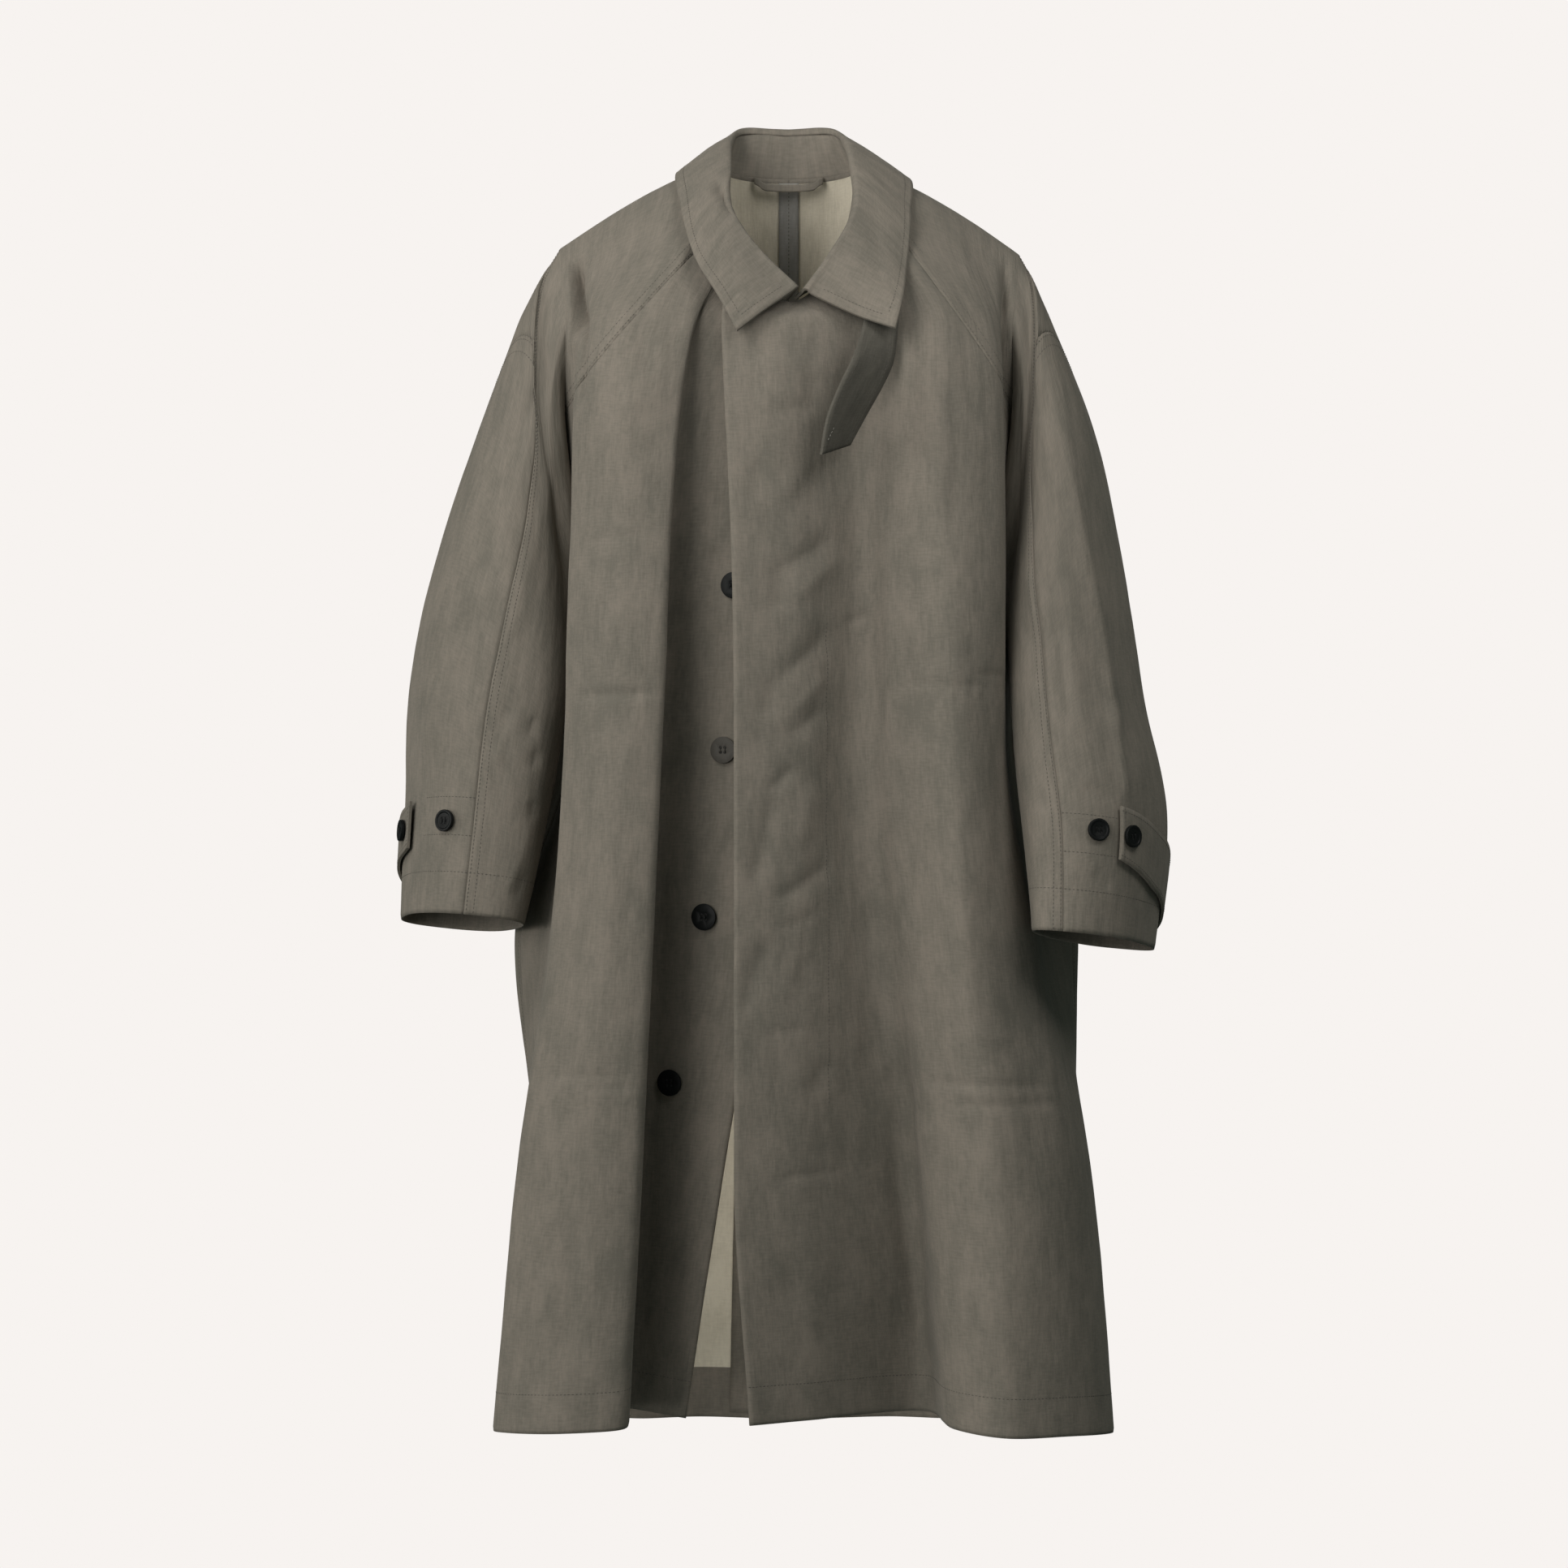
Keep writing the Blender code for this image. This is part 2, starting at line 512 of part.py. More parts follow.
for side, word in ((-1, "right"), (1, "left")):
    spans = FRONT_RIGHT_SPANS if side < 0 else FRONT_LEFT_SPANS
    columns = spread(np.arange(len(spans) + 1, dtype=float), spans)
    front = fold_sheet(front_folds(side), columns, row_places)
    columns = spread(np.arange(len(BACK_SPANS) + 1, dtype=float), BACK_SPANS)
    back = fold_sheet(back_folds(side), columns, row_places)

    # Armhole loop: up the front from the underarm to the tip, then down the back
    loop = np.concatenate((front[-1, ARMHOLE_ROWS::-1], back[-1, 1 : ARMHOLE_ROWS + 1]))
    sleeve = sleeve_sheet(side, loop, 2 * ARMHOLE_ROWS, ring_places)
    underarm = front[-1, ARMHOLE_ROWS]

    # Raglan seam: a straight cut in front view from the neck to a point on the armhole
    armhole_end = front[-1, RAGLAN_END_ROW]
    neck_x, neck_z = RAGLAN_NECK_END[side]
    run = np.array((armhole_end[0] - neck_x, 0.0, armhole_end[2] - neck_z))
    raglan_normal = np.cross(run, (0.0, 1.0, 0.0)) * side
    raglan_normal *= np.sign(raglan_normal[2])
    below = grid_bmesh(front)
    keep_side(below, armhole_end, raglan_normal, keep_positive=False)
    above = grid_bmesh(front)
    keep_side(above, armhole_end, raglan_normal, keep_positive=True)

    # Dropped armhole seam: a slanting cut across the back part of the sleeve
    back_end = back[-1, BACK_ARMHOLE_ROW]
    table = SLEEVE_RIGHT if side < 0 else SLEEVE_LEFT
    height = BACK_ARMHOLE_HEIGHT[side]
    outer_x = np.interp(-height, [-row[1] for row in table], [row[0] for row in table])
    outer = np.array((outer_x, 0.0, height))
    run = BACK_ARMHOLE_RUN
    across = np.array((-side * run["in"], -run["forward"], -run["down"]))
    seam_normal = np.cross(across, back_end - outer)
    seam_normal *= np.sign(seam_normal[2])
    back_part = sleeve[ARMHOLE_ROWS:]
    upper = grid_bmesh(back_part)
    keep_side(upper, back_end, seam_normal, keep_positive=True)
    lower = grid_bmesh(back_part)
    keep_side(lower, back_end, seam_normal, keep_positive=False)

    front_armhole = front[-1, RAGLAN_END_ROW + 1 : ARMHOLE_ROWS]
    back_armhole = back[-1, BACK_ARMHOLE_ROW + 1 : ARMHOLE_ROWS]
    pieces = {
        f"front_{word}": (join_sheets(below), front[-1, RAGLAN_END_ROW:ARMHOLE_ROWS]),
        f"sleeve_front_{word}": (join_sheets(above, grid_bmesh(sleeve[: ARMHOLE_ROWS + 1])), front_armhole),
        f"back_{word}": (join_sheets(grid_bmesh(back), upper), back[-1, BACK_ARMHOLE_ROW:ARMHOLE_ROWS]),
        f"sleeve_back_{word}": (join_sheets(lower), back_armhole),
    }
    for name, (sheet, armhole) in pieces.items():
        trim_edges(sheet, eyelets=(underarm,), armhole=armhole)
        add_object(name, sheet, "outer_cloth", cloth_wall(CLOTH))


def collar_stations():
    """Base, roll and outer edge from the right front end round the back to the left front end."""
    rows = []
    for side, table in ((-1, COLLAR_RIGHT[::-1]), (1, COLLAR_LEFT[1:])):
        for row in table:
            place = row[0]
            base = back_top_point(2.0 - place, side) if place >= 1.0 else top_point(place, side)
            rows.append((base, row[1:4], row[4:7]))
    return np.array(rows, float)


def unit(vectors):
    """Vectors brought to length one."""
    return vectors / np.linalg.norm(vectors, axis=-1, keepdims=True)


stations = collar_stations()
lengths = np.linalg.norm(np.diff(stations[:, 1:, :], axis=0), axis=2).mean(axis=1)
around = np.concatenate(([0.0], np.cumsum(lengths)))
places = np.interp(
    spread(np.arange(len(stations), dtype=float), COLLAR_SPANS[::-1] + COLLAR_SPANS),
    np.arange(len(stations), dtype=float),
    around,
)
smooth = hermite(around, stations, places)
base, roll, edge = smooth[:, 0], smooth[:, 1], smooth[:, 2]
up = unit(roll - base)
out = edge - base
out = unit(out - np.sum(out * up, axis=1, keepdims=True) * up)
down = unit(edge - roll)
away = unit(out - np.sum(out * down, axis=1, keepdims=True) * down)

seam = roll - up * STAND_SEAM_DROP
front_share = smoothstep((STAND_FRONT_Y[0] - base[:, 1:2]) / (STAND_FRONT_Y[0] - STAND_FRONT_Y[1]))
foot = base + up * (STAND_RISE_BACK + (STAND_RISE_FRONT - STAND_RISE_BACK) * front_share)
stand = np.stack([foot + (seam - foot) * share for share in (0.0, 0.5, 1.0)], axis=1)
sheet = join_sheets(grid_bmesh(stand))
trim_edges(sheet)
add_object("collar_stand", sheet, "outer_cloth", cloth_wall(COLLAR_CLOTH))

reach = np.linalg.norm(edge - roll, axis=1, keepdims=True)
fall = []
for rise, stand_out, drop, share, bulge in FALL_SECTION:
    fall.append(roll + up * rise + out * stand_out + down * (drop + share * reach) + away * bulge)
fall = np.stack(fall, axis=1)
sheet = join_sheets(grid_bmesh(fall))
trim_edges(sheet)
add_object("collar_fall", sheet, "outer_cloth", cloth_wall(COLLAR_CLOTH))

tab_places = spread(np.arange(len(THROAT_TAB), dtype=float), TAB_SPANS)
tab_edges = hermite(np.arange(len(THROAT_TAB)), np.array(THROAT_TAB, float).reshape(-1, 2, 3), tab_places)
tab_width = tab_edges[:, 1] - tab_edges[:, 0]
tab = np.stack([tab_edges[:, 0] + tab_width * share for share in (0.0, 0.5, 1.0)], axis=0)
add_object("throat_tab", join_sheets(grid_bmesh(tab)), "outer_cloth", cloth_wall(STRAP_CLOTH))

# Hanger loop: a strip whose folded ends go up into the neck seam
neck_y = NECK_BACK_Y - LOOP_STAND_OFF
loop_path = []
for side, half in ((-1, LOOP_HALF), (1, LOOP_HALF[-2::-1])):
    for share, forward, drop in half:
        loop_path.append((side * share * LOOP_HALF_WIDTH, neck_y - forward, NECK_BACK_Z - drop))
loop_path = np.array(loop_path)
half_strip = np.array((0.0, 0.0, LOOP_STRIP / 2))
loop = np.stack((loop_path - half_strip, loop_path + half_strip), axis=1)
add_object("hanger_loop", join_sheets(grid_bmesh(loop)), "outer_cloth", cloth_wall(LOOP_CLOTH))

# Tape over the centre back seam, made from the back's own points moved in
rows = np.linspace(*TAPE_ROWS, 14)
centre = fold_sheet(back_folds(1), np.array([0.0]), rows)[0]
run = unit(np.gradient(centre, axis=0))
inward = np.stack((np.zeros(len(rows)), run[:, 2], -run[:, 1]), axis=1)
middle = centre + inward * (CLOTH / 2 + TAPE_CLOTH / 2 + TAPE_GAP)
half_tape = np.array((TAPE_WIDTH / 2, 0.0, 0.0))
tape = np.stack((middle - half_tape, middle + half_tape), axis=0)
add_object("back_seam_tape", join_sheets(grid_bmesh(tape)), "tape", cloth_wall(TAPE_CLOTH))

# Underlap of the back vent, lying inside the right half
rows = np.linspace(*VENT_ROWS, 7)
ridge_away = (BACK["ridge"][-2][0] + BACK["ridge"][-1][0]) / 2
columns = np.linspace(0.0, VENT_WIDTH / ridge_away, 4)
vent = fold_sheet(back_folds(-1), columns, rows)
vent[..., 1] -= CLOTH + VENT_GAP
add_object("vent_underlap", join_sheets(grid_bmesh(vent)), "outer_cloth", cloth_wall(CLOTH))


def button_bmesh(size):
    """Turned button with a raised rim, face up at the origin."""
    radius = size["radius"]
    thick = size["thick"]
    inner = radius - size["rim"]
    profile = (
        (0.0, 0.0),
        (radius - BUTTON_EDGE, 0.0),
        (radius, BUTTON_EDGE),
        (radius, thick - BUTTON_EDGE),
        (radius - BUTTON_EDGE, thick),
        (inner, thick),
        (inner - BUTTON_EDGE, thick - size["dish"]),
        (0.0, thick - size["dish"]),
    )
    bm = bmesh.new()
    verts = [bm.verts.new((r * MM, 0.0, z * MM)) for r, z in profile]
    edges = [bm.edges.new(pair) for pair in zip(verts[:-1], verts[1:])]
    bmesh.ops.spin(
        bm,
        geom=verts + edges,
        cent=(0, 0, 0),
        axis=(0, 0, 1),
        angle=2 * math.pi,
        steps=BUTTON_SEGMENTS,
        use_merge=True,
    )
    bmesh.ops.remove_doubles(bm, verts=bm.verts[:], dist=2e-5)
    bmesh.ops.recalc_face_normals(bm, faces=bm.faces[:])
    return bm


def add_button(name, size, place, normal):
    """Button standing on a surface point, facing along the normal."""
    bm = button_bmesh(size)
    turn = Vector(normal).to_track_quat("Z", "Y").to_matrix().to_4x4()
    bmesh.ops.transform(bm, matrix=Matrix.Translation(Vector(place) * MM) @ turn, verts=bm.verts[:])
    add_object(name, bm, "button")


def on_front(x, z):
    """Point of the right front's button strip at x and z, with the direction that leaves it."""
    columns = np.linspace(0.0, 1.0, 41)
    rows = np.linspace(2.0, 6.5, 181)
    sheet = fold_sheet(front_folds(-1), columns, rows)
    miss = (sheet[..., 0] - x) ** 2 + (sheet[..., 2] - z) ** 2
    i, j = np.unravel_index(np.argmin(miss), miss.shape)
    i = min(max(i, 1), len(columns) - 2)
    j = min(max(j, 1), len(rows) - 2)
    normal = np.cross(sheet[i + 1, j] - sheet[i - 1, j], sheet[i, j + 1] - sheet[i, j - 1])
    normal = unit(normal)
    return sheet[i, j], normal * -np.sign(normal[1])


for number, (x, z) in enumerate(FRONT_BUTTON_PLACES, 1):
    place, normal = on_front(x, z)
    lift = CLOTH / 2 + FRONT_BUTTON_LIFT[number - 1]
    add_button(f"front_button_{number}", FRONT_BUTTON, place + normal * lift, normal)


def strap_point(side, strap, share, offset=0.0):
    """Point on a cuff strap at a share of its length and an offset across it, with its outward direction."""
    degrees = strap["end_deg"] + (strap["anchor_deg"] - strap["end_deg"]) * share
    t = strap["end_t"] + (strap["anchor_t"] - strap["end_t"]) * share
    stand_off = STRAP_STAND_OFF[0] + (STRAP_STAND_OFF[1] - STRAP_STAND_OFF[0]) * share
    place, normal = surface_normal(side, math.radians(degrees), t + offset * STRAP_WIDTH)
    return place + normal * stand_off, normal


for side, word in ((-1, "right"), (1, "left")):
    degrees, t = CUFF_BUTTON_PLACES[side]
    place, normal = surface_normal(side, math.radians(degrees), t)
    lift = CLOTH / 2 + CUFF_BUTTON_LIFT
    add_button(f"cuff_button_{word}", CUFF_BUTTON, place + normal * lift, normal)

    strap = STRAP_RIGHT if side < 0 else STRAP_LEFT
    grid = []
    for share in np.linspace(0.0, 1.0, 9):
        grid.append([strap_point(side, strap, share, offset)[0] for offset in (-0.5, 0.0, 0.5)])
    sheet = join_sheets(grid_bmesh(np.array(grid)))
    add_object(f"cuff_strap_{word}", sheet, "outer_cloth", cloth_wall(STRAP_CLOTH))

    share = (strap["button_deg"] - strap["end_deg"]) / (strap["anchor_deg"] - strap["end_deg"])
    place, normal = strap_point(side, strap, share)
    lift = STRAP_CLOTH / 2 + STRAP_BUTTON_LIFT
    add_button(f"strap_button_{word}", CUFF_BUTTON, place + normal * lift, normal)
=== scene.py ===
# %% [markdown]
# A raglan coat, sewn in Blender
#
# The coat is cut from bonded cotton: grey-brown outside, beige inside, with no lining.
# The imported solids already have its panels at their real size. This lesson dresses them: each
# panel is drawn again from the same fold lines with a finer mesh, creased, given a wall and a
# woven finish, and then stitched and buttoned.

import math

import bmesh
import bpy
import numpy as np
from mathutils import Matrix, Vector, noise


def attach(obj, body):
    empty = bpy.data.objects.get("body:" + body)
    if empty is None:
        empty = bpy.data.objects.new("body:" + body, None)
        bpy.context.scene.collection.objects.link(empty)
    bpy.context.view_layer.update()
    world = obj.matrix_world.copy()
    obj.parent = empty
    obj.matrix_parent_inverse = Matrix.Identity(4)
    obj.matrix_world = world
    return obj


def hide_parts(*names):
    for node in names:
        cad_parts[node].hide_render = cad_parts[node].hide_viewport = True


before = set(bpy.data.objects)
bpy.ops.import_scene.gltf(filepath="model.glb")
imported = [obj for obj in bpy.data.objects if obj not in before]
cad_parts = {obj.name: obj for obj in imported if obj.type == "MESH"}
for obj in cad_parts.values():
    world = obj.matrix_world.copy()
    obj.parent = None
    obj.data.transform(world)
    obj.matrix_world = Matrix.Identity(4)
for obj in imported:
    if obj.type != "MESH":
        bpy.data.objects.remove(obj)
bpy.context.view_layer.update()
bpy.ops.object.select_all(action="DESELECT")
MM = 0.001

# %% [markdown]
# Camera
#
# A long lens, level with the middle of the coat, keeps the panels nearly free of perspective.
# The lens follows from the distance and from the width of the coat's plane that is seen.

# %% Place the camera
CAMERA_PLACE = (-0.0042, -3.4, -0.5418)
SEEN_WIDTH = 1.3524
SENSOR_WIDTH = 36.0
bpy.ops.object.camera_add(location=CAMERA_PLACE, rotation=(math.pi / 2, 0.0, 0.0))
camera = bpy.context.object
camera.data.sensor_width = SENSOR_WIDTH
camera.data.lens = SENSOR_WIDTH * -CAMERA_PLACE[1] / SEEN_WIDTH
bpy.context.scene.camera = camera
print("lens in mm:", round(camera.data.lens, 1))

# %% [markdown]
# Studio
#
# A pale paper room: a floor and a dome of the same even tone, which glow by themselves and cast no
# light on the coat. Three low, soft suns stand for tall lamps on the left, which make the folds read,
# and a fourth one lights the back.
# Two square panels hang above the shoulders, so the light fades towards the hem. A small lamp inside
# the coat stands for the light that comes through the hem and lifts the beige in the front slit.
# The Standard view keeps the colours as they are mixed.

# %% Build the studio
PAPER = (0.930, 0.896, 0.871, 1.0)
FLOOR_PLACE = (0.0, 0.0, -1.32)
FLOOR_RADIUS = 3.0
ROOM_RADIUS = 14.0


def paper_material():
    """Even pale paper."""
    made = bpy.data.materials.new("studio_paper")
    made.use_nodes = True
    tree = made.node_tree
    tree.nodes.remove(tree.nodes["Principled BSDF"])
    glow = tree.nodes.new("ShaderNodeEmission")
    glow.inputs["Color"].default_value = PAPER
    tree.links.new(glow.outputs[0], tree.nodes["Material Output"].inputs["Surface"])
    return made


paper = paper_material()
bpy.ops.mesh.primitive_uv_sphere_add(segments=48, ring_count=24, radius=ROOM_RADIUS)
dome = bpy.context.object
dome.name = "studio_dome"
bpy.ops.mesh.primitive_circle_add(vertices=64, radius=FLOOR_RADIUS, fill_type="NGON", location=FLOOR_PLACE)
floor = bpy.context.object
floor.name = "studio_floor"
for stage_piece in (dome, floor):
    stage_piece.data.materials.append(paper)
    stage_piece.visible_diffuse = False
    stage_piece.visible_glossy = False
    stage_piece.visible_shadow = False

SUN_SPREAD = 28.0
SUN_PLACE = (0.0, -2.0, 1.0)
SUNS = {
    "key_sun": {"round": -40.0, "up": 5.0, "strength": 0.74, "colour": (1.0, 0.97, 0.93)},
    "side_sun": {"round": -80.0, "up": 5.0, "strength": 0.90, "colour": (1.0, 0.97, 0.93)},
    "front_sun": {"round": -20.0, "up": 5.0, "strength": 0.38, "colour": (1.0, 0.98, 0.96)},
    "back_sun": {"round": 180.0, "up": 12.0, "strength": 0.80, "colour": (1.0, 0.98, 0.96)},
}
for name, sun in SUNS.items():
    bpy.ops.object.light_add(type="SUN", location=SUN_PLACE)
    light = bpy.context.object
    light.name = name
    light.data.angle = math.radians(SUN_SPREAD)
    light.data.energy = sun["strength"]
    light.data.color = sun["colour"]
    light.rotation_euler = (math.radians(90.0 - sun["up"]), 0.0, math.radians(sun["round"]))

CHEST = Vector((0.0, 0.0, -0.3))
BEHIND_SLIT = Vector((-0.03, 0.5, -0.93))
PANEL_COLOUR = (1.0, 0.97, 0.94)
PANELS = {
    "left_panel": {"place": (-0.9, -1.1, 0.7), "aim": CHEST, "size": (0.8, 0.8), "power": 11.5},
    "right_panel": {"place": (0.9, -1.1, 0.7), "aim": CHEST, "size": (0.8, 0.8), "power": 10.5},
    "inside_lamp": {"place": (-0.03, -0.02, -0.93), "aim": BEHIND_SLIT, "size": (0.16, 0.34), "power": 0.19},
}
for name, panel in PANELS.items():
    bpy.ops.object.light_add(type="AREA", location=panel["place"])
    light = bpy.context.object
    light.name = name
    light.data.shape = "RECTANGLE"
    light.data.size, light.data.size_y = panel["size"]
    light.data.energy = panel["power"]
    light.data.color = PANEL_COLOUR
    towards = panel["aim"] - Vector(panel["place"])
    light.rotation_euler = towards.to_track_quat("-Z", "Y").to_euler()
    light.visible_camera = False

SKY_STRENGTH = 0.09
SKY_COLOUR = (0.82, 1.0, 0.90, 1.0)
world = bpy.data.worlds.new("soft_sky")
world.use_nodes = True
sky = world.node_tree.nodes["Background"]
sky.inputs["Color"].default_value = SKY_COLOUR
sky.inputs["Strength"].default_value = SKY_STRENGTH
bpy.context.scene.world = world
bpy.context.scene.view_settings.view_transform = "Standard"
print("lamps:", ", ".join([*SUNS, *PANELS]))

# %% [markdown]
# Bonded cotton
#
# The face is a close plain weave: fine threads run across and down, and longer slubs and washed
# streaks run down. All of it reads the panel's own cut, a UV map in metres, so the grain follows
# the cloth round the folds. The colour drifts a little between olive and brown, and a light
# sheen stands for the fine nap.

# %% Mix the cloth
# Each grain has its repeats a metre across and down the cut, and its detail
GRAIN = {
    "drift": ((11.0, 8.0), 3.0),
    "mottle": ((38.0, 27.0), 3.0),
    "weft": ((130.0, 620.0), 2.0),
    "warp": ((620.0, 110.0), 2.0),
    "slubs": ((260.0, 38.0), 2.0),
    "washed": ((90.0, 24.0), 2.0),
    "streaks": ((95.0, 20.0), 5.0),
    "rumple": ((30.0, 22.0), 4.0),
}
WARP_SHARE = 0.9
TONE_WEIGHTS = {"mottle": 0.8, "threads": 0.75, "slubs": 0.55, "washed": 0.75}
TONE_RANGE = (1.93, 2.59)
WEAVE_DEPTH = 0.0003
RUMPLE = {"share": 1.6, "strength": 0.5, "depth": 0.0019}
CLOTH_SHADER = {
    "Roughness": 0.86,
    "Specular IOR Level": 0.25,
    "Sheen Roughness": 0.5,
    "Sheen Tint": (0.9, 0.86, 0.8, 1.0),
}


def add_node(tree, kind, settings=None, **inputs):
    """Node with settings; an input is a value or another node's output socket."""
    made = tree.nodes.new(kind)
    for key, value in (settings or {}).items():
        setattr(made, key, value)
    for key, value in inputs.items():
        socket = made.inputs[key.replace("_", " ")]
        if isinstance(value, bpy.types.NodeSocket):
            tree.links.new(value, socket)
        else:
            socket.default_value = value
    return made


def principled(name):
    """New material, its node tree and its shader."""
    made = bpy.data.materials.new(name)
    made.use_nodes = True
    return made, made.node_tree, made.node_tree.nodes["Principled BSDF"]


def stretched_noise(tree, coordinate, stretch, detail):
    """Noise whose grain is stretched: repeats a metre along the cut's two ways."""
    mapping = add_node(tree, "ShaderNodeMapping", Vector=coordinate, Scale=(*stretch, 1.0))
    made = add_node(tree, "ShaderNodeTexNoise", Vector=mapping.outputs[0], Scale=1.0, Detail=detail)
    return made.outputs["Fac"]


def mixed(tree, first, second, share):
    """Two heights added, the second one weighted."""
    made = add_node(tree, "ShaderNodeMath", {"operation": "MULTIPLY_ADD"})
    tree.links.new(second, made.inputs[0])
    made.inputs[1].default_value = share
    tree.links.new(first, made.inputs[2])
    return made.outputs[0]


def bonded_cotton(name, dark, light, sheen, weave_strength):
    """Woven cloth whose colour drifts between dark and light."""
    made, tree, shader = principled(name)
    cut = add_node(tree, "ShaderNodeUVMap", {"uv_map": "cut"}).outputs[0]
    grain = {key: stretched_noise(tree, cut, *row) for key, row in GRAIN.items()}
    grain["threads"] = mixed(tree, grain["weft"], grain["warp"], WARP_SHARE)
    tone = grain["drift"]
    for key, weight in TONE_WEIGHTS.items():
        tone = mixed(tree, tone, grain[key], weight)
    low, high = TONE_RANGE
    share = add_node(tree, "ShaderNodeMapRange", Value=tone, From_Min=low, From_Max=high)
    ramp = add_node(tree, "ShaderNodeValToRGB", Fac=share.outputs[0])
    ramp.color_ramp.elements[0].color = (*dark, 1.0)
    ramp.color_ramp.elements[1].color = (*light, 1.0)
    tree.links.new(ramp.outputs["Color"], shader.inputs["Base Color"])
    fine = add_node(
        tree, "ShaderNodeBump", Strength=weave_strength, Distance=WEAVE_DEPTH, Height=grain["threads"]
    )
    soft = add_node(
        tree,
        "ShaderNodeBump",
        Strength=RUMPLE["strength"],
        Distance=RUMPLE["depth"],
        Height=mixed(tree, grain["streaks"], grain["rumple"], RUMPLE["share"]),
        Normal=fine.outputs[0],
    )
    tree.links.new(soft.outputs[0], shader.inputs["Normal"])
    for key, value in CLOTH_SHADER.items():
        shader.inputs[key].default_value = value
    shader.inputs["Sheen Weight"].default_value = sheen
    return made


outer_cloth = bonded_cotton("outer_cotton", (0.149, 0.138, 0.114), (0.215, 0.190, 0.158), 0.10, 0.25)
inner_cloth = bonded_cotton("beige_inside", (0.610, 0.560, 0.450), (0.730, 0.675, 0.550), 0.08, 0.2)
# painted shade: the throat tab's cloth is the same cotton at about half the brightness, standing for the
# shade on its turned face
tab_painted_shade_cloth = bonded_cotton("tab_cloth_painted_shade", (0.076, 0.072, 0.060), (0.108, 0.101, 0.084), 0.05, 0.25)
tape_cloth = bonded_cotton("seam_tape", (0.240, 0.236, 0.220), (0.300, 0.295, 0.276), 0.05, 0.3)
print("cloths:", outer_cloth.name, inner_cloth.name, tab_painted_shade_cloth.name, tape_cloth.name)

# %% [markdown]
# Drawing the panels
#
# A pattern cutter thinks in lines: the neckline, the shoulder, the side seam and the folds that hang
# from them. Each fold line below is a row with its place at a few heights, in millimetres.
# A smooth curve runs through the rows, and a second one runs across them, which gives the
# sheet. The tables are those of the solids, with more steps between the lines. A few values differ by
# some millimetres where soft cloth gives: the first sleeve rings, the collar's roll and the stand's foot.

# %% Fold lines of the body
NECK = {
    "half_width": 62.0,
    "point_y": 28.0,
    "point_z": -2.0,
    "front_reach": 126.0,
    "back_y": 62.0,
    "back_z": -11.0,
}
NECK_FALL = 0.55
NECK_FALL_CURVE = 0.0042
RIGHT_TUCK = {"depth": 9.0, "starts": 0.3, "run": 0.5}
LEFT_FRONT_LAP = 34.0
LAP_REACH = 100.0
SHOULDER_ARCH = 5.0
SHOULDER_TIP = {-1: (-197.0, 10.0, -79.0), 1: (198.0, 10.0, -84.0)}
LEVELS = {"chest": 160.0, "underarm": 345.0, "waist": 500.0, "hip": 680.0, "knee": 860.0, "hem": 1072.0}
SHOULDER_HEIGHT = 70.0
SHOULDER_SHARE = np.array((0.30, 0.60, 0.44))
NECK_SHARE = np.array((0.40, 0.50, 0.40))
SHOULDER_START = np.array((1.0, 1.3, 0.10))
NECK_START = np.array((1.0, 1.0, 1.0))
CENTRE_BACK_START = (1.0, 0.0, 0.0)
SHOULDER_BLEND = 0.25

FOLD_COLUMNS = ("top", "chest", "underarm", "waist", "hip", "knee", "hem")
HIP = FOLD_COLUMNS.index("hip") - 1
FRONT_RIGHT = {
    "edge": (-1.05, (0, -108), (-3, -120), (-10, -123), (-26, -121), (-54, -112), (-87, -86, -1075)),
    "valley": (-0.62, (-72, -102), (-100, -100), (-113, -94), (-123, -86), (-133, -78), (-145, -68, -1069)),
    "inner": (
        -0.40, (-88, -112), (-104, -140), (-109, -152), (-118, -160), (-127, -166), (-139, -172, -1071),
    ),
    "crest": (
        0.0, (-122, -110), (-139, -138), (-144, -151), (-154, -159), (-170, -166), (-187, -172, -1074),
    ),
    "outer": (
        0.54, (-166, -88), (-180, -106), (-185, -117), (-195, -123), (-222, -128), (-241, -132, -1079),
    ),
    "flank": (0.84, (-181, -60), (-181, -54), (-178, -56), (-205, -54), (-219, -52), (-237, -50, -1086)),
    "side": (1.0, (-189, -50), (-196, 0), (-187, 2), (-232, 5), (-221, 15), (-226, 20, -1094)),
}
FRONT_LEFT = {
    "edge": (-1.55, (-56, -120), (-48, -140), (-46, -148), (-46, -152), (-46, -150), (-32, -144, -1072)),
    "placket": (-1.04, (-8, -122), (-2, -138), (2, -143), (4, -145), (5, -140), (19, -114, -1072)),
    "valley": (-0.62, (61, -110), (59, -113), (58, -113), (76, -112), (102, -94), (120, -63, -1073)),
    "inner": (-0.34, (93, -114), (86, -126), (88, -129), (102, -136), (118, -141), (135, -152, -1073)),
    "crest": (0.0, (128, -114), (130, -147), (135, -157), (148, -164), (168, -172), (176, -182, -1076)),
    "outer": (0.54, (166, -90), (174, -122), (174, -126), (196, -122), (221, -146), (231, -160, -1078)),
    "flank": (0.84, (182, -60), (181, -58), (182, -60), (216, -58), (252, -72), (272, -92, -1086)),
    "side": (1.0, (190, -50), (196, 0), (192, 2), (245, 10), (247, 15), (257, 20, -1096)),
}
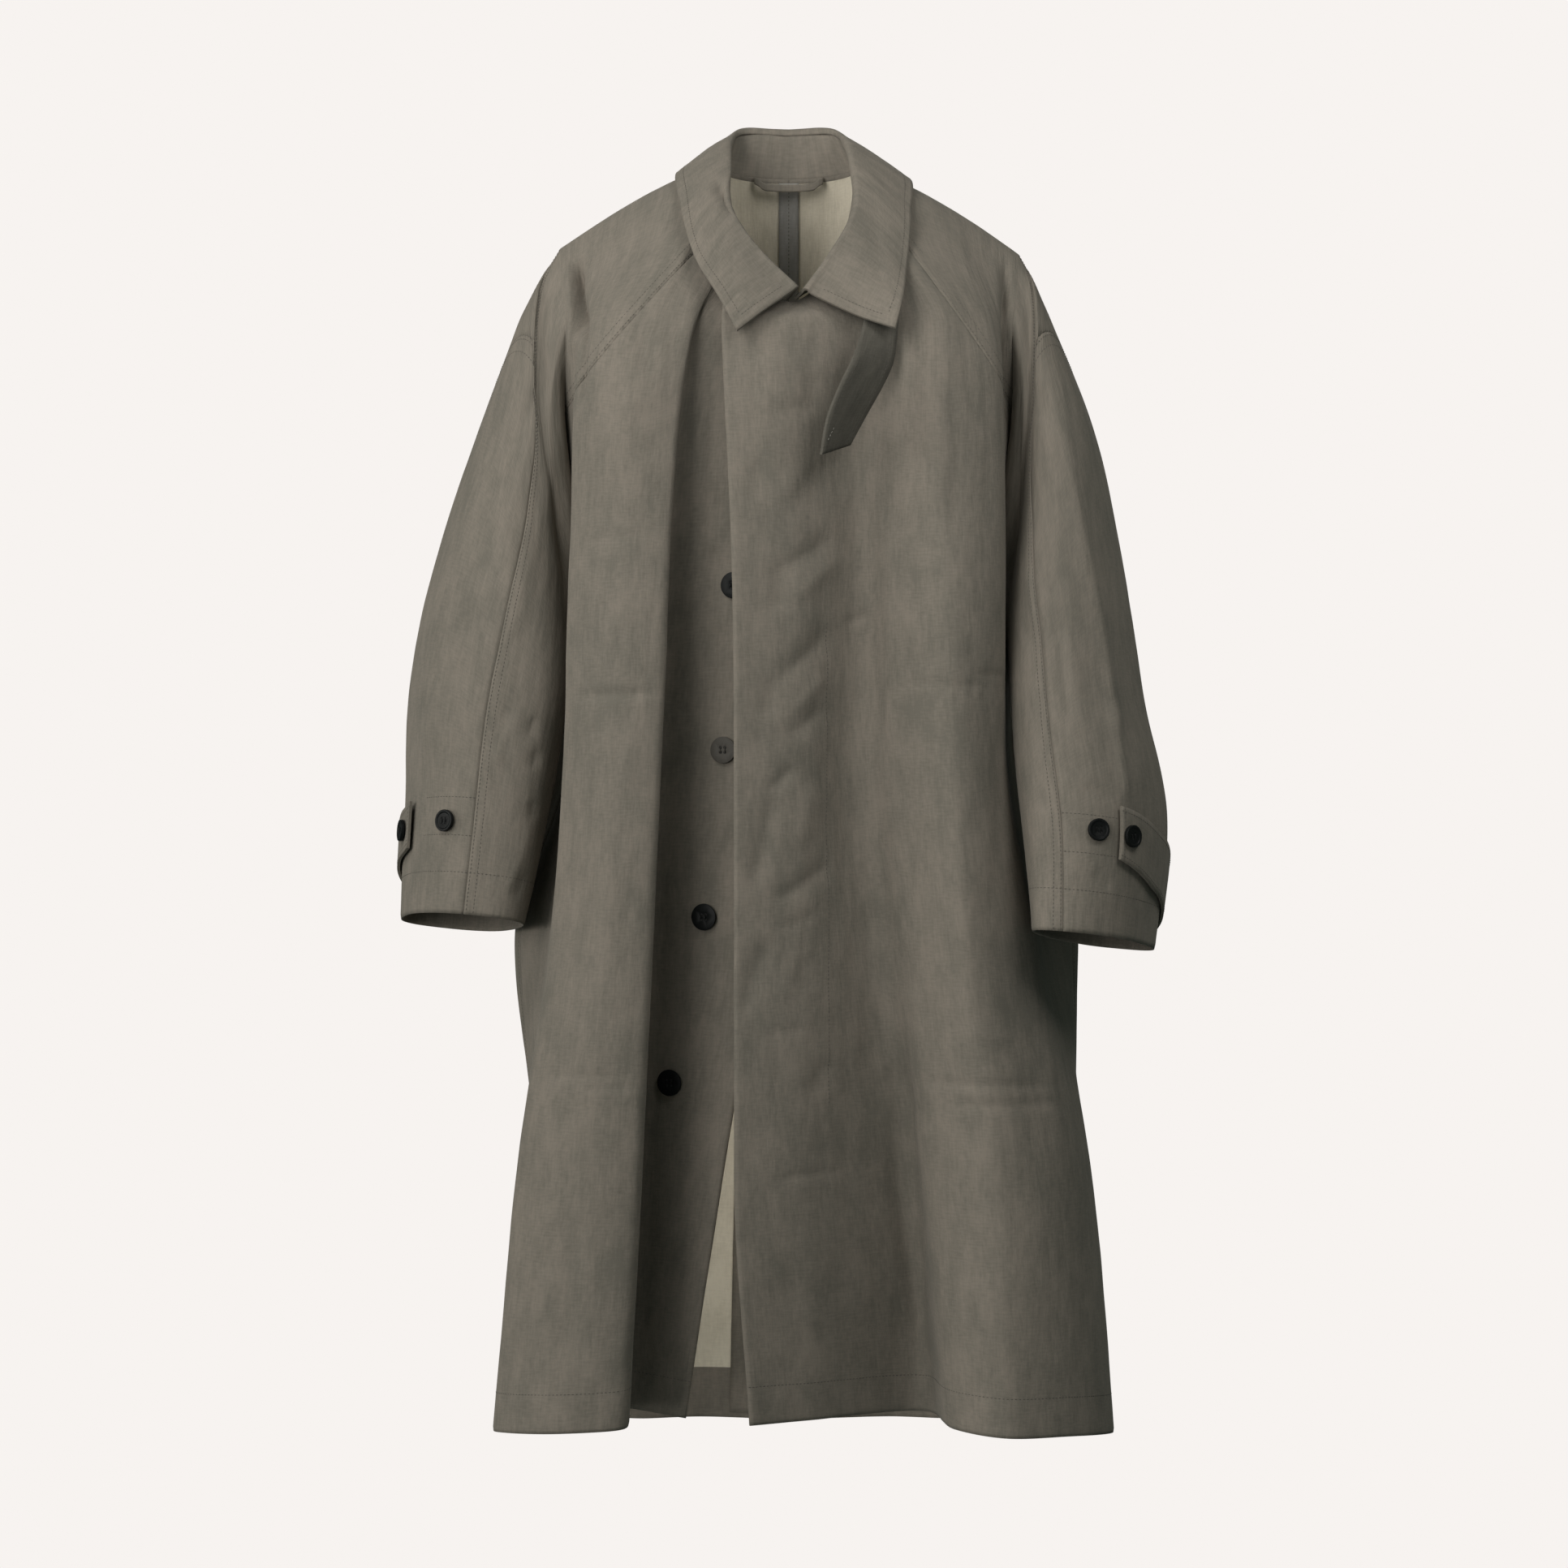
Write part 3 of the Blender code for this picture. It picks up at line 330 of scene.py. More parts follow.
BACK = {
    "centre": (0.0, (0, 100), (0, 122), (0, 124), (0, 130), (0, 142), (0, 165, -1116)),
    "ridge": (0.5, (42, 104), (55, 127), (60, 134), (66, 142), (72, 154), (80, 174, -1115)),
    "valley": (1.0, (86, 98), (104, 116), (110, 118), (120, 124), (128, 132), (138, 144, -1112)),
    "blade": (1.54, (144, 86), (158, 98), (160, 104), (180, 118), (186, 136), (198, 164, -1111)),
    "flank": (1.84, (178, 60), (187, 54), (199, 52), (237, 50), (223, 74), (238, 86, -1103)),
}
ROW_SPANS = (16, 24, 60, 50, 58, 58, 68)
FRONT_RIGHT_SPANS = (28, 14, 14, 17, 18, 15)
FRONT_LEFT_SPANS = (14, 20, 10, 12, 16, 17, 18)
BACK_SPANS = (16, 14, 15, 19, 14)
ARMHOLE_ROWS = sum(ROW_SPANS[:3])
RAGLAN_END_SHARE = 0.4
BACK_ARMHOLE_SHARE = 0.8
RAGLAN_END_ROW = sum(ROW_SPANS[:2]) + int(RAGLAN_END_SHARE * ROW_SPANS[2])
BACK_ARMHOLE_ROW = sum(ROW_SPANS[:2]) + int(BACK_ARMHOLE_SHARE * ROW_SPANS[2])
RAGLAN_NECK_END = {-1: (-75.0, -88.0), 1: (106.0, -98.0)}
SIDES = ((-1, "right"), (1, "left"))
print("fold lines:", len(FRONT_RIGHT) + len(FRONT_LEFT) + 2 * len(BACK))

# %% [markdown]
# Curves through fold lines
#
# A Hermite curve passes through every given point with a slope taken from its neighbours.
# Down the coat it is kept steady, so that cloth doesn't bulge between two heights.

# %% Curve helpers


def smoothstep(value):
    """Ease from 0 to 1."""
    value = np.clip(value, 0.0, 1.0)
    return value * value * (3.0 - 2.0 * value)


def unit(vectors):
    """Vectors brought to length one."""
    return vectors / np.maximum(np.linalg.norm(vectors, axis=-1, keepdims=True), 1e-9)


def hermite(knots, values, places, start_scale=None, steady=False):
    """Smooth curve through values at knots."""
    knots = np.asarray(knots, float)
    values = np.asarray(values, float)
    places = np.clip(np.asarray(places, float), knots[0], knots[-1])
    shape = (-1,) + (1,) * (values.ndim - 1)
    step = np.diff(knots).reshape(shape)
    chord = np.diff(values, axis=0) / step
    slope = np.empty_like(values)
    slope[0] = chord[0]
    slope[-1] = chord[-1]
    slope[1:-1] = (chord[:-1] * step[1:] + chord[1:] * step[:-1]) / (step[1:] + step[:-1])
    if steady:
        least = 3.0 * np.minimum(np.abs(chord[:-1]), np.abs(chord[1:]))
        same = (chord[:-1] * chord[1:]) > 0
        slope[1:-1] = np.where(same, np.clip(slope[1:-1], -least, least), 0.0)
    if start_scale is not None:
        slope[0] = slope[0] * np.array(start_scale)
    span = np.clip(np.searchsorted(knots, places, side="right") - 1, 0, len(knots) - 2)
    width = (knots[span + 1] - knots[span]).reshape(shape)
    t = ((places - knots[span]) / (knots[span + 1] - knots[span])).reshape(shape)
    return (
        (2 * t**3 - 3 * t**2 + 1) * values[span]
        + (t**3 - 2 * t**2 + t) * width * slope[span]
        + (-2 * t**3 + 3 * t**2) * values[span + 1]
        + (t**3 - t**2) * width * slope[span + 1]
    )


def spread(spans):
    """Places that divide each unit step into its number of spans."""
    places = [0.0]
    for start, count in enumerate(spans):
        places += [start + (i + 1) / count for i in range(count)]
    return np.array(places)


def top_point(place, side):
    """Point on the top line: 1 at the shoulder tip, 0 at the neck point, -1 at the centre front."""
    neck = np.array((side * NECK["half_width"], NECK["point_y"], NECK["point_z"]))
    if place >= 0.0:
        arch = np.array((0.0, 0.0, SHOULDER_ARCH * math.sin(math.pi * place)))
        return neck + place * (np.array(SHOULDER_TIP[side]) - neck) + arch
    turn = min(-place, 1.0) * math.pi / 2
    past = max(-place - 1.0, 0.0)
    forward = NECK["front_reach"] * math.sin(turn)
    x = side * (NECK["half_width"] * math.cos(turn) - LAP_REACH * past)
    y = NECK["point_y"] - forward
    z = NECK["point_z"] - forward * (NECK_FALL + NECK_FALL_CURVE * forward)
    if side < 0:
        y += RIGHT_TUCK["depth"] * smoothstep((-place - RIGHT_TUCK["starts"]) / RIGHT_TUCK["run"])
    else:
        y -= LEFT_FRONT_LAP * past
    return np.array((x, y, z))


def back_top_point(place, side):
    """Point on the back's top line: 0 at the centre back, 1 at the neck point, 2 at the shoulder tip."""
    if place >= 1.0:
        return top_point(place - 1.0, side)
    turn = (1.0 - place) * math.pi / 2
    x = side * NECK["half_width"] * math.cos(turn)
    y = NECK["point_y"] + (NECK["back_y"] - NECK["point_y"]) * math.sin(turn)
    z = NECK["point_z"] + (NECK["back_z"] - NECK["point_z"]) * math.sin(turn)
    return np.array((x, y, z))


def fold_lines(table, side, is_back=False):
    """Fold lines of a table: their places on the top line and their points at the sections."""
    lines = []
    for row in table.values():
        points = []
        for name, place in zip(FOLD_COLUMNS[1:], row[1:]):
            points.append(place if name == "hem" else (*place, -LEVELS[name]))
        lines.append(points)
    tops = [row[0] for row in table.values()]
    return {"side": side, "is_back": is_back, "tops": tops, "lines": np.array(lines, float)}


def fold_sheet(folds, column_places, row_places):
    """Sheet through fold lines: grid[column, row] of points."""
    lines = folds["lines"]
    is_back = folds["is_back"]
    length = np.linalg.norm(np.diff(lines[:, HIP:, :], axis=0), axis=2).mean(axis=1)
    across = np.concatenate(([0.0], np.cumsum(length)))
    u = np.interp(column_places, np.arange(len(across), dtype=float), across)
    sections = hermite(across, lines, u, CENTRE_BACK_START if is_back else None)
    tops = np.interp(u, across, folds["tops"])
    find_top = back_top_point if is_back else top_point
    first = np.array([find_top(place, folds["side"]) for place in tops])
    neck_point = 1.0 if is_back else 0.0
    from_neck = smoothstep((tops - neck_point + SHOULDER_BLEND) / SHOULDER_BLEND)[:, None]
    share = NECK_SHARE * (1 - from_neck) + SHOULDER_SHARE * from_neck
    start = NECK_START * (1 - from_neck) + SHOULDER_START * from_neck
    second = first + share * (sections[:, 0] - first)
    rows = np.concatenate((first[:, None], second[:, None], sections), axis=1)
    knots = np.array([0.0, SHOULDER_HEIGHT] + list(LEVELS.values()))
    v = np.interp(row_places, np.arange(len(knots), dtype=float), knots)
    return hermite(knots, rows.swapaxes(0, 1), v, start, steady=True).swapaxes(0, 1)


def front_folds(side):
    """Fold lines of one front."""
    return fold_lines(FRONT_RIGHT if side < 0 else FRONT_LEFT, side)


def back_folds(side):
    """Fold lines of one half of the back, ending on the front's side line."""
    front_table = FRONT_RIGHT if side < 0 else FRONT_LEFT
    table = {}
    for name, row in BACK.items():
        places = []
        for number, place in enumerate(row[1:], 1):
            width = abs(front_table["side"][number][0]) / abs(FRONT_RIGHT["side"][number][0])
            places.append((side * place[0] * width, *place[1:]))
        table[name] = (row[0], *places)
    chest_x, chest_y = front_table["side"][1]
    table["side"] = (2.0, (chest_x, -chest_y), *front_table["side"][2:])
    return fold_lines(table, side, is_back=True)


# %% [markdown]
# Sleeves
#
# A sleeve is a tube, so it is drawn as rings from the armhole to the cuff. Each ring is set by what
# the eye sees from the front, its outer and inner edge, and by its depth, turn and tilt.
# Near the armhole the rings give way to the armhole's own curve, and below it the sleeve's front leans
# in against the body.

# %% Sleeve rings
RING_COLUMNS = (
    "outer_x", "outer_z", "inner_x", "inner_z", "mid_y", "half_depth", "yaw", "tilt", "seam_deg",
)
SLEEVE_RIGHT = (
    (-197, -79, -196, -345, 0, 48, 0.00, 0.00, 180),
    (-229, -135, -197, -374, 4, 62, 0.08, 0.02, 106),
    (-266, -235, -194, -420, 2, 70, 0.26, 0.05, 99),
    (-304, -350, -193, -474, -8, 80, 0.32, 0.07, 100),
    (-325, -455, -201, -535, -14, 80, 0.32, 0.08, 101),
    (-328, -560, -213, -602, -24, 76, 0.30, 0.10, 102),
    (-332, -654, -227, -665, -36, 70, 0.28, 0.11, 100),
)
SLEEVE_LEFT = (
    (198, -84, 196, -345, 0, 48, 0.00, 0.00, 180),
    (223, -137, 197, -374, -8, 64, 0.12, 0.02, 100),
    (258, -235, 192, -420, -28, 72, 0.25, 0.05, 87),
    (281, -350, 194, -478, -48, 75, 0.34, 0.07, 88),
    (296, -455, 197, -545, -70, 73, 0.40, 0.09, 89),
    (316, -560, 201, -610, -90, 70, 0.42, 0.12, 87),
    (306, -677, 204, -668, -106, 66, 0.42, 0.15, 88),
)
RING_SPANS = (14, 24, 28, 25, 25, 24)
SLEEVE_SQUARENESS = 2.5
ARMHOLE_BLEND = 1.15
BACK_ARMHOLE_HEIGHT = {-1: -170.0, 1: -180.0}
BACK_ARMHOLE_RUN = {"in": 45.0, "forward": 68.0, "down": 14.0}
LEAST_HALF_WIDTH = 0.5
LEAN = {"in": 13.0, "forward": 5.0}
LEAN_ROUND = {"top": 0.60, "fade_up": 0.30, "fade_down": 0.20}
LEAN_ALONG = {"starts": 0.6, "ends": 2.6, "fade": 1.5}
NORMAL_STEP = 0.02


def ring_table(side):
    """Rings of one sleeve."""
    return SLEEVE_RIGHT if side < 0 else SLEEVE_LEFT


def sleeve_value(side, name, places):
    """One column of the ring table, read smoothly along the sleeve."""
    table = ring_table(side)
    column = [row[RING_COLUMNS.index(name)] for row in table]
    return hermite(np.arange(len(table)), column, places)


def ring_points(side, angle, t):
    """Sleeve surface at an angle round the ring (0 underarm, 90 front, 180 outer) and place t."""
    value = {name: sleeve_value(side, name, t) for name in RING_COLUMNS}
    depth = value["half_depth"]
    reach = np.hypot(value["outer_x"] - value["inner_x"], value["outer_z"] - value["inner_z"]) / 2
    swing = depth * value["yaw"]
    half = np.sqrt(np.maximum(reach**2 - swing**2, (LEAST_HALF_WIDTH * reach) ** 2))
    along_x = (value["outer_x"] - value["inner_x"]) / (2 * reach)
    along_z = (value["outer_z"] - value["inner_z"]) / (2 * reach)
    power = 2.0 / SLEEVE_SQUARENESS
    cos = -np.cos(angle)
    sin = np.sin(angle)
    across = np.sign(cos) * np.abs(cos) ** power * half
    forward = np.sign(sin) * np.abs(sin) ** power * depth
    x = (value["outer_x"] + value["inner_x"]) / 2 + across * along_x - side * value["yaw"] * forward
    y = value["mid_y"] - forward
    z = (value["outer_z"] + value["inner_z"]) / 2 + across * along_z + value["tilt"] * forward
    return np.stack((x, y, z), axis=-1)


def armhole_angles(side, armhole):
    """Ring angle of each armhole point, found from its height."""
    first = ring_points(side, np.array([0.0, math.pi]), np.zeros(2))[:, 2]
    share = np.clip(2 * (armhole[:, 2] - first[0]) / (first[1] - first[0]) - 1, -1.0, 1.0)
    angle = np.arccos(-np.sign(share) * np.abs(share) ** (SLEEVE_SQUARENESS / 2))
    past_top = np.arange(len(armhole)) > len(armhole) // 2
    return np.where(past_top, 2 * math.pi - angle, angle)


def sleeve_sheet(side, armhole, columns, t_places):
    """Sleeve from the armhole loop to the cuff: grid[column, ring] of points."""
    seam = np.radians(sleeve_value(side, "seam_deg", t_places))
    half = columns // 2
    grid = np.empty((columns + 1, len(t_places), 3))
    blend = smoothstep(t_places / ARMHOLE_BLEND)
    near = armhole_angles(side, armhole)
    for i in range(columns + 1):
        angle = seam * i / half if i <= half else seam + (2 * math.pi - seam) * (i - half) / half
        ring = ring_points(side, near[i] + (angle - near[i]) * blend, t_places)
        grid[i] = ring + (armhole[i] - ring[0]) * (1 - blend)[:, None]
    return grid


def lay_on_body(side, grid, t_places):
    """Sleeve grid with its front leaned in, so that it lies against the body."""
    half = (len(grid) - 1) // 2
    share = np.clip(np.arange(len(grid)) / half, 0.0, 1.0)
    from_top = (LEAN_ROUND["top"] - share) / LEAN_ROUND["fade_up"]
    near_front = smoothstep(share / LEAN_ROUND["fade_down"]) * smoothstep(from_top)
    from_end = (LEAN_ALONG["ends"] - t_places) / LEAN_ALONG["fade"]
    along = smoothstep(t_places / LEAN_ALONG["starts"]) * smoothstep(from_end)
    move = np.array((-side * LEAN["in"], -LEAN["forward"], 0.0))
    return grid + (near_front[:, None] * along[None])[..., None] * move


def surface_normal(side, angle, t):
    """Point on the sleeve and the direction that leaves it."""
    here = ring_points(side, np.array([angle]), np.array([t]))[0]
    round_it = ring_points(side, np.array([angle + NORMAL_STEP]), np.array([t]))[0] - here
    down_it = ring_points(side, np.array([angle]), np.array([t + NORMAL_STEP]))[0] - here
    normal = np.cross(round_it, down_it) * -side
    return here, normal / np.linalg.norm(normal)


print("rings:", len(SLEEVE_RIGHT), "a sleeve")

# %% [markdown]
# Creases
#
# Crisp cotton breaks into soft troughs and ridges. Each row below is one crease, drawn as a bowed
# line in the front view, with its width and its depth in millimetres: below zero it is
# a trough, above zero a ridge. It fades at both ends. A little uneven crumple lies under
# all of them.

# %% Creases
# Columns: x0, z0, x1, z1, bow, width, depth
CREASES = {
    "front_left": (
        (-18, -181, -5, -235, 0, 24, 2.2),
        (21, -196, 13, -240, 2, 8, -2.1),
        (19, -272, -15, -309, 2, 8, 1.8),
        (-24, -268, -29, -312, 0, 7, -1.6),
        (39, -332, -12, -366, 3, 9, -3.2),
        (-11, -354, -10, -405, 2, 8, -2.8),
        (44, -353, 2, -393, -2, 8, 2.5),
        (38, -408, -16, -458, 4, 10, -3.9),
        (-12, -448, -19, -492, 0, 8, -2.5),
        (32, -448, 2, -485, 0, 6, 2.1),
        (33, -474, -6, -505, 2, 8, -3.0),
        (4, -524, -20, -549, 2, 6, -3.0),
        (-14, -538, -35, -638, 4, 8, -3.7),
        (20, -538, 2, -598, 3, 11, 2.1),
        (38, -602, -20, -641, 4, 8, -3.2),
        (30, -645, -16, -662, 2, 5, -1.2),
        (-14, -664, -41, -742, -3, 8, -3.0),
        (8, -682, 19, -717, 0, 6, -1.8),
        (0, -686, -3, -723, 0, 6, 1.4),
        (-20, -747, 17, -745, 1, 4, -1.0),
        (-14, -868, 47, -866, 2, 4, -1.2),
        (31, -768, 20, -802, 0, 7, -2.1),
        (49, -411, 64, -397, 0, 4, -1.8),
        (58, -250, 60, -540, 2, 10, -3.4),
        (82, -290, 83, -560, 0, 9, 1.4),
        (67, -622, 68, -798, 0, 4, -1.0),
        (75, -618, 77, -790, 0, 4, -0.9),
        (90, -672, 97, -722, 0, 8, -1.6),
        (85, -772, 114, -834, 0, 9, -2.6),
        (85, -800, 121, -1046, -4, 7, -3.2),
        (117, -178, 121, -332, 4, 12, 1.8),
        (132, -184, 136, -366, 4, 12, -1.8),
        (141, -746, 187, -756, 2, 5, 1.0),
        (92, -788, 238, -794, 2, 4, -1.5),
        (118, -805, 238, -806, 0, 4, -1.5),
        (83, -459, 192, -460, 0, 3.5, -1.0),
        (148, -451, 194, -452, 0, 4, -2.0),
        (130, -458, 129, -476, 0, 3, -1.0),
        (140, -458, 138, -480, 0, 3, -1.2),
        (150, -458, 151, -474, 0, 3, -0.8),
        (163, -458, 161, -478, 0, 3, -1.1),
        (174, -458, 175, -473, 0, 3, -0.9),
        (185, -86, 182, -250, 2, 4, -10.0),
        (60, -130, 82, -960, 0, 38, -7.0),
        (-50, -130, -46, -1010, 0, 48, 6.0),
    ),
    "front_right": (
        (-63, -284, -47, -320, 0, 6, -1.8),
        (-66, -342, -51, -367, 0, 6, -2.2),
        (-59, -408, -47, -428, 0, 6, -1.6),
        (-184, -468, -100, -467, 0, 4, -2.2),
        (-166, -341, -112, -337, 2, 3.5, -0.7),
        (-207, -782, -122, -782, 0, 4, -1.3),
        (-173, -792, -122, -791, 0, 4, -1.3),
        (-121, -220, -111, -280, 0, 14, -1.8),
        (-128, -148, -116, -208, 0, 9, -1.8),
        (-143, -114, -136, -195, 0, 12, 1.6),
        (-131, -480, -134, -560, 0, 8, 1.0),
        (-150, -560, -156, -760, 3, 10, 1.2),
        (-215, -900, -230, -1030, 0, 12, 1.6),
        (-176, -880, -190, -1040, 3, 12, -1.6),
        (-181, -84, -176, -172, -2, 5, -15.0),
        (-173, -122, -175, -240, 0, 4, -7.0),
        (-189, -92, -186, -190, 2, 4, 5.0),
    ),
    "back": (
        (-40, -180, -70, -420, 6, 16, -3.0),
        (60, -200, 84, -460, -6, 16, -3.0),
        (-120, -160, -160, -330, 8, 10, -2.6),
        (124, -170, 160, -340, -8, 10, -2.6),
        (-30, -520, -52, -760, 5, 14, 2.2),
        (36, -560, 30, -820, -5, 14, 2.4),
        (-150, -470, -40, -430, 6, 8, -1.8),
        (150, -480, 50, -436, 6, 8, -1.8),
        (-110, -700, -130, -980, 4, 14, -2.4),
        (104, -720, 122, -1000, -4, 14, -2.2),
    ),
    "sleeve_left": (
        (198, -356, 205, -424, 2, 5, 2.2),
        (221, -383, 233, -501, 0, 6, -2.2),
        (228, -403, 238, -484, 0, 5, 1.6),
        (211, -202, 216, -242, 0, 9, -3.0),
        (226, -225, 245, -340, 0, 8, 3.0),
        (238, -300, 262, -430, 0, 8, 4.4),
        (256, -395, 272, -510, 0, 7, 4.6),
        (266, -470, 280, -565, 0, 6, 4.0),
        (248, -612, 265, -629, 0, 5, -1.6),
        (241, -541, 271, -558, 0, 5, -1.6),
        (207, -548, 214, -566, 0, 4, -1.2),
    ),
    "sleeve_right": (
        (-195, -160, -252, -282, 3, 13, -3.6),
        (-248, -255, -270, -395, 3, 13, -3.8),
        (-266, -370, -282, -482, 0, 11, -3.4),
        (-281, -458, -279, -538, 0, 8, -2.6),
        (-190, -215, -219, -362, 0, 9, 2.2),
        (-215, -335, -236, -432, 0, 9, 2.2),
        (-229, -482, -251, -533, 0, 6, 1.6),
        (-216, -570, -241, -641, 2, 6, 1.6),
        (-293, -440, -312, -528, 0, 5, 2.0),
        (-215, -484, -218, -504, 0, 5, -2.0),
        (-213, -511, -215, -531, 0, 5, -2.0),
        (-217, -555, -213, -572, 0, 5, -1.8),
        (-223, -615, -229, -639, 0, 5, -1.8),
        (-236, -470, -240, -520, 0, 7, -1.6),
    ),
    "collar_fall": (
        (-64, -22, -45, -62, 0, 5, -5.0),
        (69, -50, 77, -136, 2, 10, -1.5),
        (-84, -70, -60, -140, 0, 12, 0.8),
    ),
    "collar_stand": (
        (-5, 36, -6, -14, 0, 5, 1.0),
        (29, 36, 36, -14, 0, 7, 1.3),
        (-37, 36, -44, -12, 0, 8, 1.6),
    ),
}
CRUMPLE = ((70.0, 1.2), (24.0, 0.45), (10.0, 0.13))
CRUMPLE_STRETCH = 2.2
CREASE_CRISPNESS = 1.5
CREASE_FADE = 0.3
SEEN_FROM = 0.45
EDGE_REACH = 9.0


def grid_normals(grid, centre):
    """Unit normals of a grid, turned away from a centre line of points."""
    along = np.gradient(grid, axis=0)
    down = np.gradient(grid, axis=1)
    normal = unit(np.cross(along, down))
    away = np.sum(normal * (grid - centre), axis=-1)
    return normal if np.median(away) > 0 else -normal


def edge_distance(grid, axis, at_end):
    """Length along one axis from an edge of a grid."""
    step = np.linalg.norm(np.diff(grid, axis=axis), axis=-1)
    if at_end:
        step = np.flip(step, axis)
    zero = np.zeros_like(np.take(step, [0], axis))
    away = np.concatenate((zero, np.cumsum(step, axis=axis)), axis=axis)
    return np.flip(away, axis) if at_end else away


def edge_fade(grid, edges):
    """1 inside a grid and 0 on the named edges, so that sewn neighbours still meet."""
    fade = np.ones(grid.shape[:2])
    for axis, at_end in edges:
        fade = fade * smoothstep(edge_distance(grid, axis, at_end) / EDGE_REACH)
    return fade


def crease_push(grid, rows):
    """How far each point moves for a table of creases."""
    push = np.zeros(grid.shape[:2])
    for x0, z0, x1, z1, bow, width, depth in rows:
        run = np.array((x1 - x0, z1 - z0), float)
        length = np.hypot(*run)
        run /= length
        dx = grid[..., 0] - x0
        dz = grid[..., 2] - z0
        share = (dx * run[0] + dz * run[1]) / length
        aside = -dx * run[1] + dz * run[0] - bow * 4 * share * (1 - share)
        fade = smoothstep(share / CREASE_FADE) * smoothstep((1 - share) / CREASE_FADE)
        push += depth * np.exp(-(np.abs(aside / width) ** CREASE_CRISPNESS)) * fade
    return push


def crumple_push(grid):
    """Uneven rumple of washed cotton, longer down than across."""
    push = np.zeros(grid.shape[:2])
    for length, depth in CRUMPLE:
        scaled = grid / np.array((length, length, length * CRUMPLE_STRETCH))
        values = [noise.noise(Vector(place)) for place in scaled.reshape(-1, 3)]
        push += depth * np.array(values).reshape(push.shape)
    return push


def press(grid, centre, edges, creases, facing):
    """Grid with its creases, and its normals."""
    normal = grid_normals(grid, centre)
    seen = smoothstep((normal[..., 1] * facing) / SEEN_FROM)
    push = crease_push(grid, creases) * seen + crumple_push(grid)
    made = grid + normal * (push * edge_fade(grid, edges))[..., None]
    return made, grid_normals(made, centre)


# %% [markdown]
# Sheets into cloth
#
# A grid becomes a mesh of quads with its cut as a UV map. Seams are plane cuts through it, done with
# the bisect tool. The edges turn under slightly, as sewn edges do, and Solidify gives the
# wall: its outer face takes the first material and its inner face the second.

# %% Cloth helpers
CLOTH = 1.5
COLLAR_CLOTH = 2.2
STRAP_CLOTH = 2.4
TURNED_EDGE = {"depth": 0.65, "reach": 2.2}
SEAM_ALLOWANCE = 3.0
POINTS_AT_ONCE = 2000
INSIDE_SLOT = 1
RIM_SLOT = 2
ALLOWANCE_SLOT = 3


def cut_map(grid):
    """Cut of a grid in metres: mean lengths across and down."""
    across = np.linalg.norm(np.diff(grid, axis=0), axis=-1).mean(axis=1)
    down = np.linalg.norm(np.diff(grid, axis=1), axis=-1).mean(axis=0)
    u = np.concatenate(([0.0], np.cumsum(across)))
    v = np.concatenate(([0.0], np.cumsum(down)))
    return np.stack(np.meshgrid(u, v, indexing="ij"), axis=-1) * MM


def sheet_bmesh(grid, normal):
    """Sheet of quads through a grid, facing its normals, with its cut as UV."""
    columns, rows = grid.shape[:2]
    index = np.arange(columns * rows).reshape(columns, rows)
    corners = (index[:-1, :-1], index[1:, :-1], index[1:, 1:], index[:-1, 1:])
    quads = np.stack(corners, -1).reshape(-1, 4)
    across = np.gradient(grid, axis=0)
    down = np.gradient(grid, axis=1)
    if np.median(np.sum(np.cross(across, down) * normal, axis=-1)) < 0:
        quads = quads[:, ::-1]
    mesh = bpy.data.meshes.new("sheet")
    mesh.from_pydata((grid.reshape(-1, 3) * MM).tolist(), [], quads.tolist())
    layer = mesh.uv_layers.new(name="cut")
    cut = cut_map(grid).reshape(-1, 2)[quads.ravel()]
    layer.data.foreach_set("uv", cut.astype(np.float32).ravel())
    bm = bmesh.new()
    bm.from_mesh(mesh)
    bpy.data.meshes.remove(mesh)
    return bm


def keep_side(bm, point, normal, keep_positive):
    """Cut a sheet along a plane and keep one side of it."""
    bmesh.ops.bisect_plane(
        bm,
        geom=bm.verts[:] + bm.edges[:] + bm.faces[:],
        dist=2e-5,
        plane_co=Vector(point) * MM,
        plane_no=Vector(normal),
        clear_inner=keep_positive,
        clear_outer=not keep_positive,
    )
    return bm


def join_sheets(*sheets):
    """Several sheets as one, joined where their edges meet."""
    whole = bmesh.new()
    for sheet in sheets:
        carrier = bpy.data.meshes.new("carrier")
        sheet.to_mesh(carrier)
        sheet.free()
        whole.from_mesh(carrier)
        bpy.data.meshes.remove(carrier)
    bmesh.ops.remove_doubles(whole, verts=whole.verts[:], dist=4e-5)
    return whole


def turn_edges(bm):
    """Turn the edges of a sheet under by a thread's width."""
    bm.normal_update()
    rim = np.array([v.co for v in bm.verts if v.is_boundary])
    bm.verts.index_update()
    places = np.array([v.co for v in bm.verts])
    nearest = np.empty(len(places))
    for start in range(0, len(places), POINTS_AT_ONCE):
        part = slice(start, start + POINTS_AT_ONCE)
        nearest[part] = np.sqrt(((places[part][:, None] - rim[None]) ** 2).sum(-1).min(1))
    depth = TURNED_EDGE["depth"] * (1 - smoothstep(nearest / (TURNED_EDGE["reach"] * MM))) * MM
    for vertex, amount in zip(list(bm.verts), depth):
        if amount > 1e-6:
            vertex.co -= vertex.normal * amount
    for face in bm.faces:
        if min(nearest[vertex.index] for vertex in face.verts) < SEAM_ALLOWANCE * MM:
            face.material_index = ALLOWANCE_SLOT


def add_mesh(name, mesh):
    """New object that holds a mesh."""
    made = bpy.data.objects.new(name, mesh)
    bpy.context.scene.collection.objects.link(made)
    return made


def select_only(thing):
    """Make one object the only selected and active one."""
    bpy.ops.object.select_all(action="DESELECT")
    bpy.context.view_layer.objects.active = thing
    thing.select_set(True)


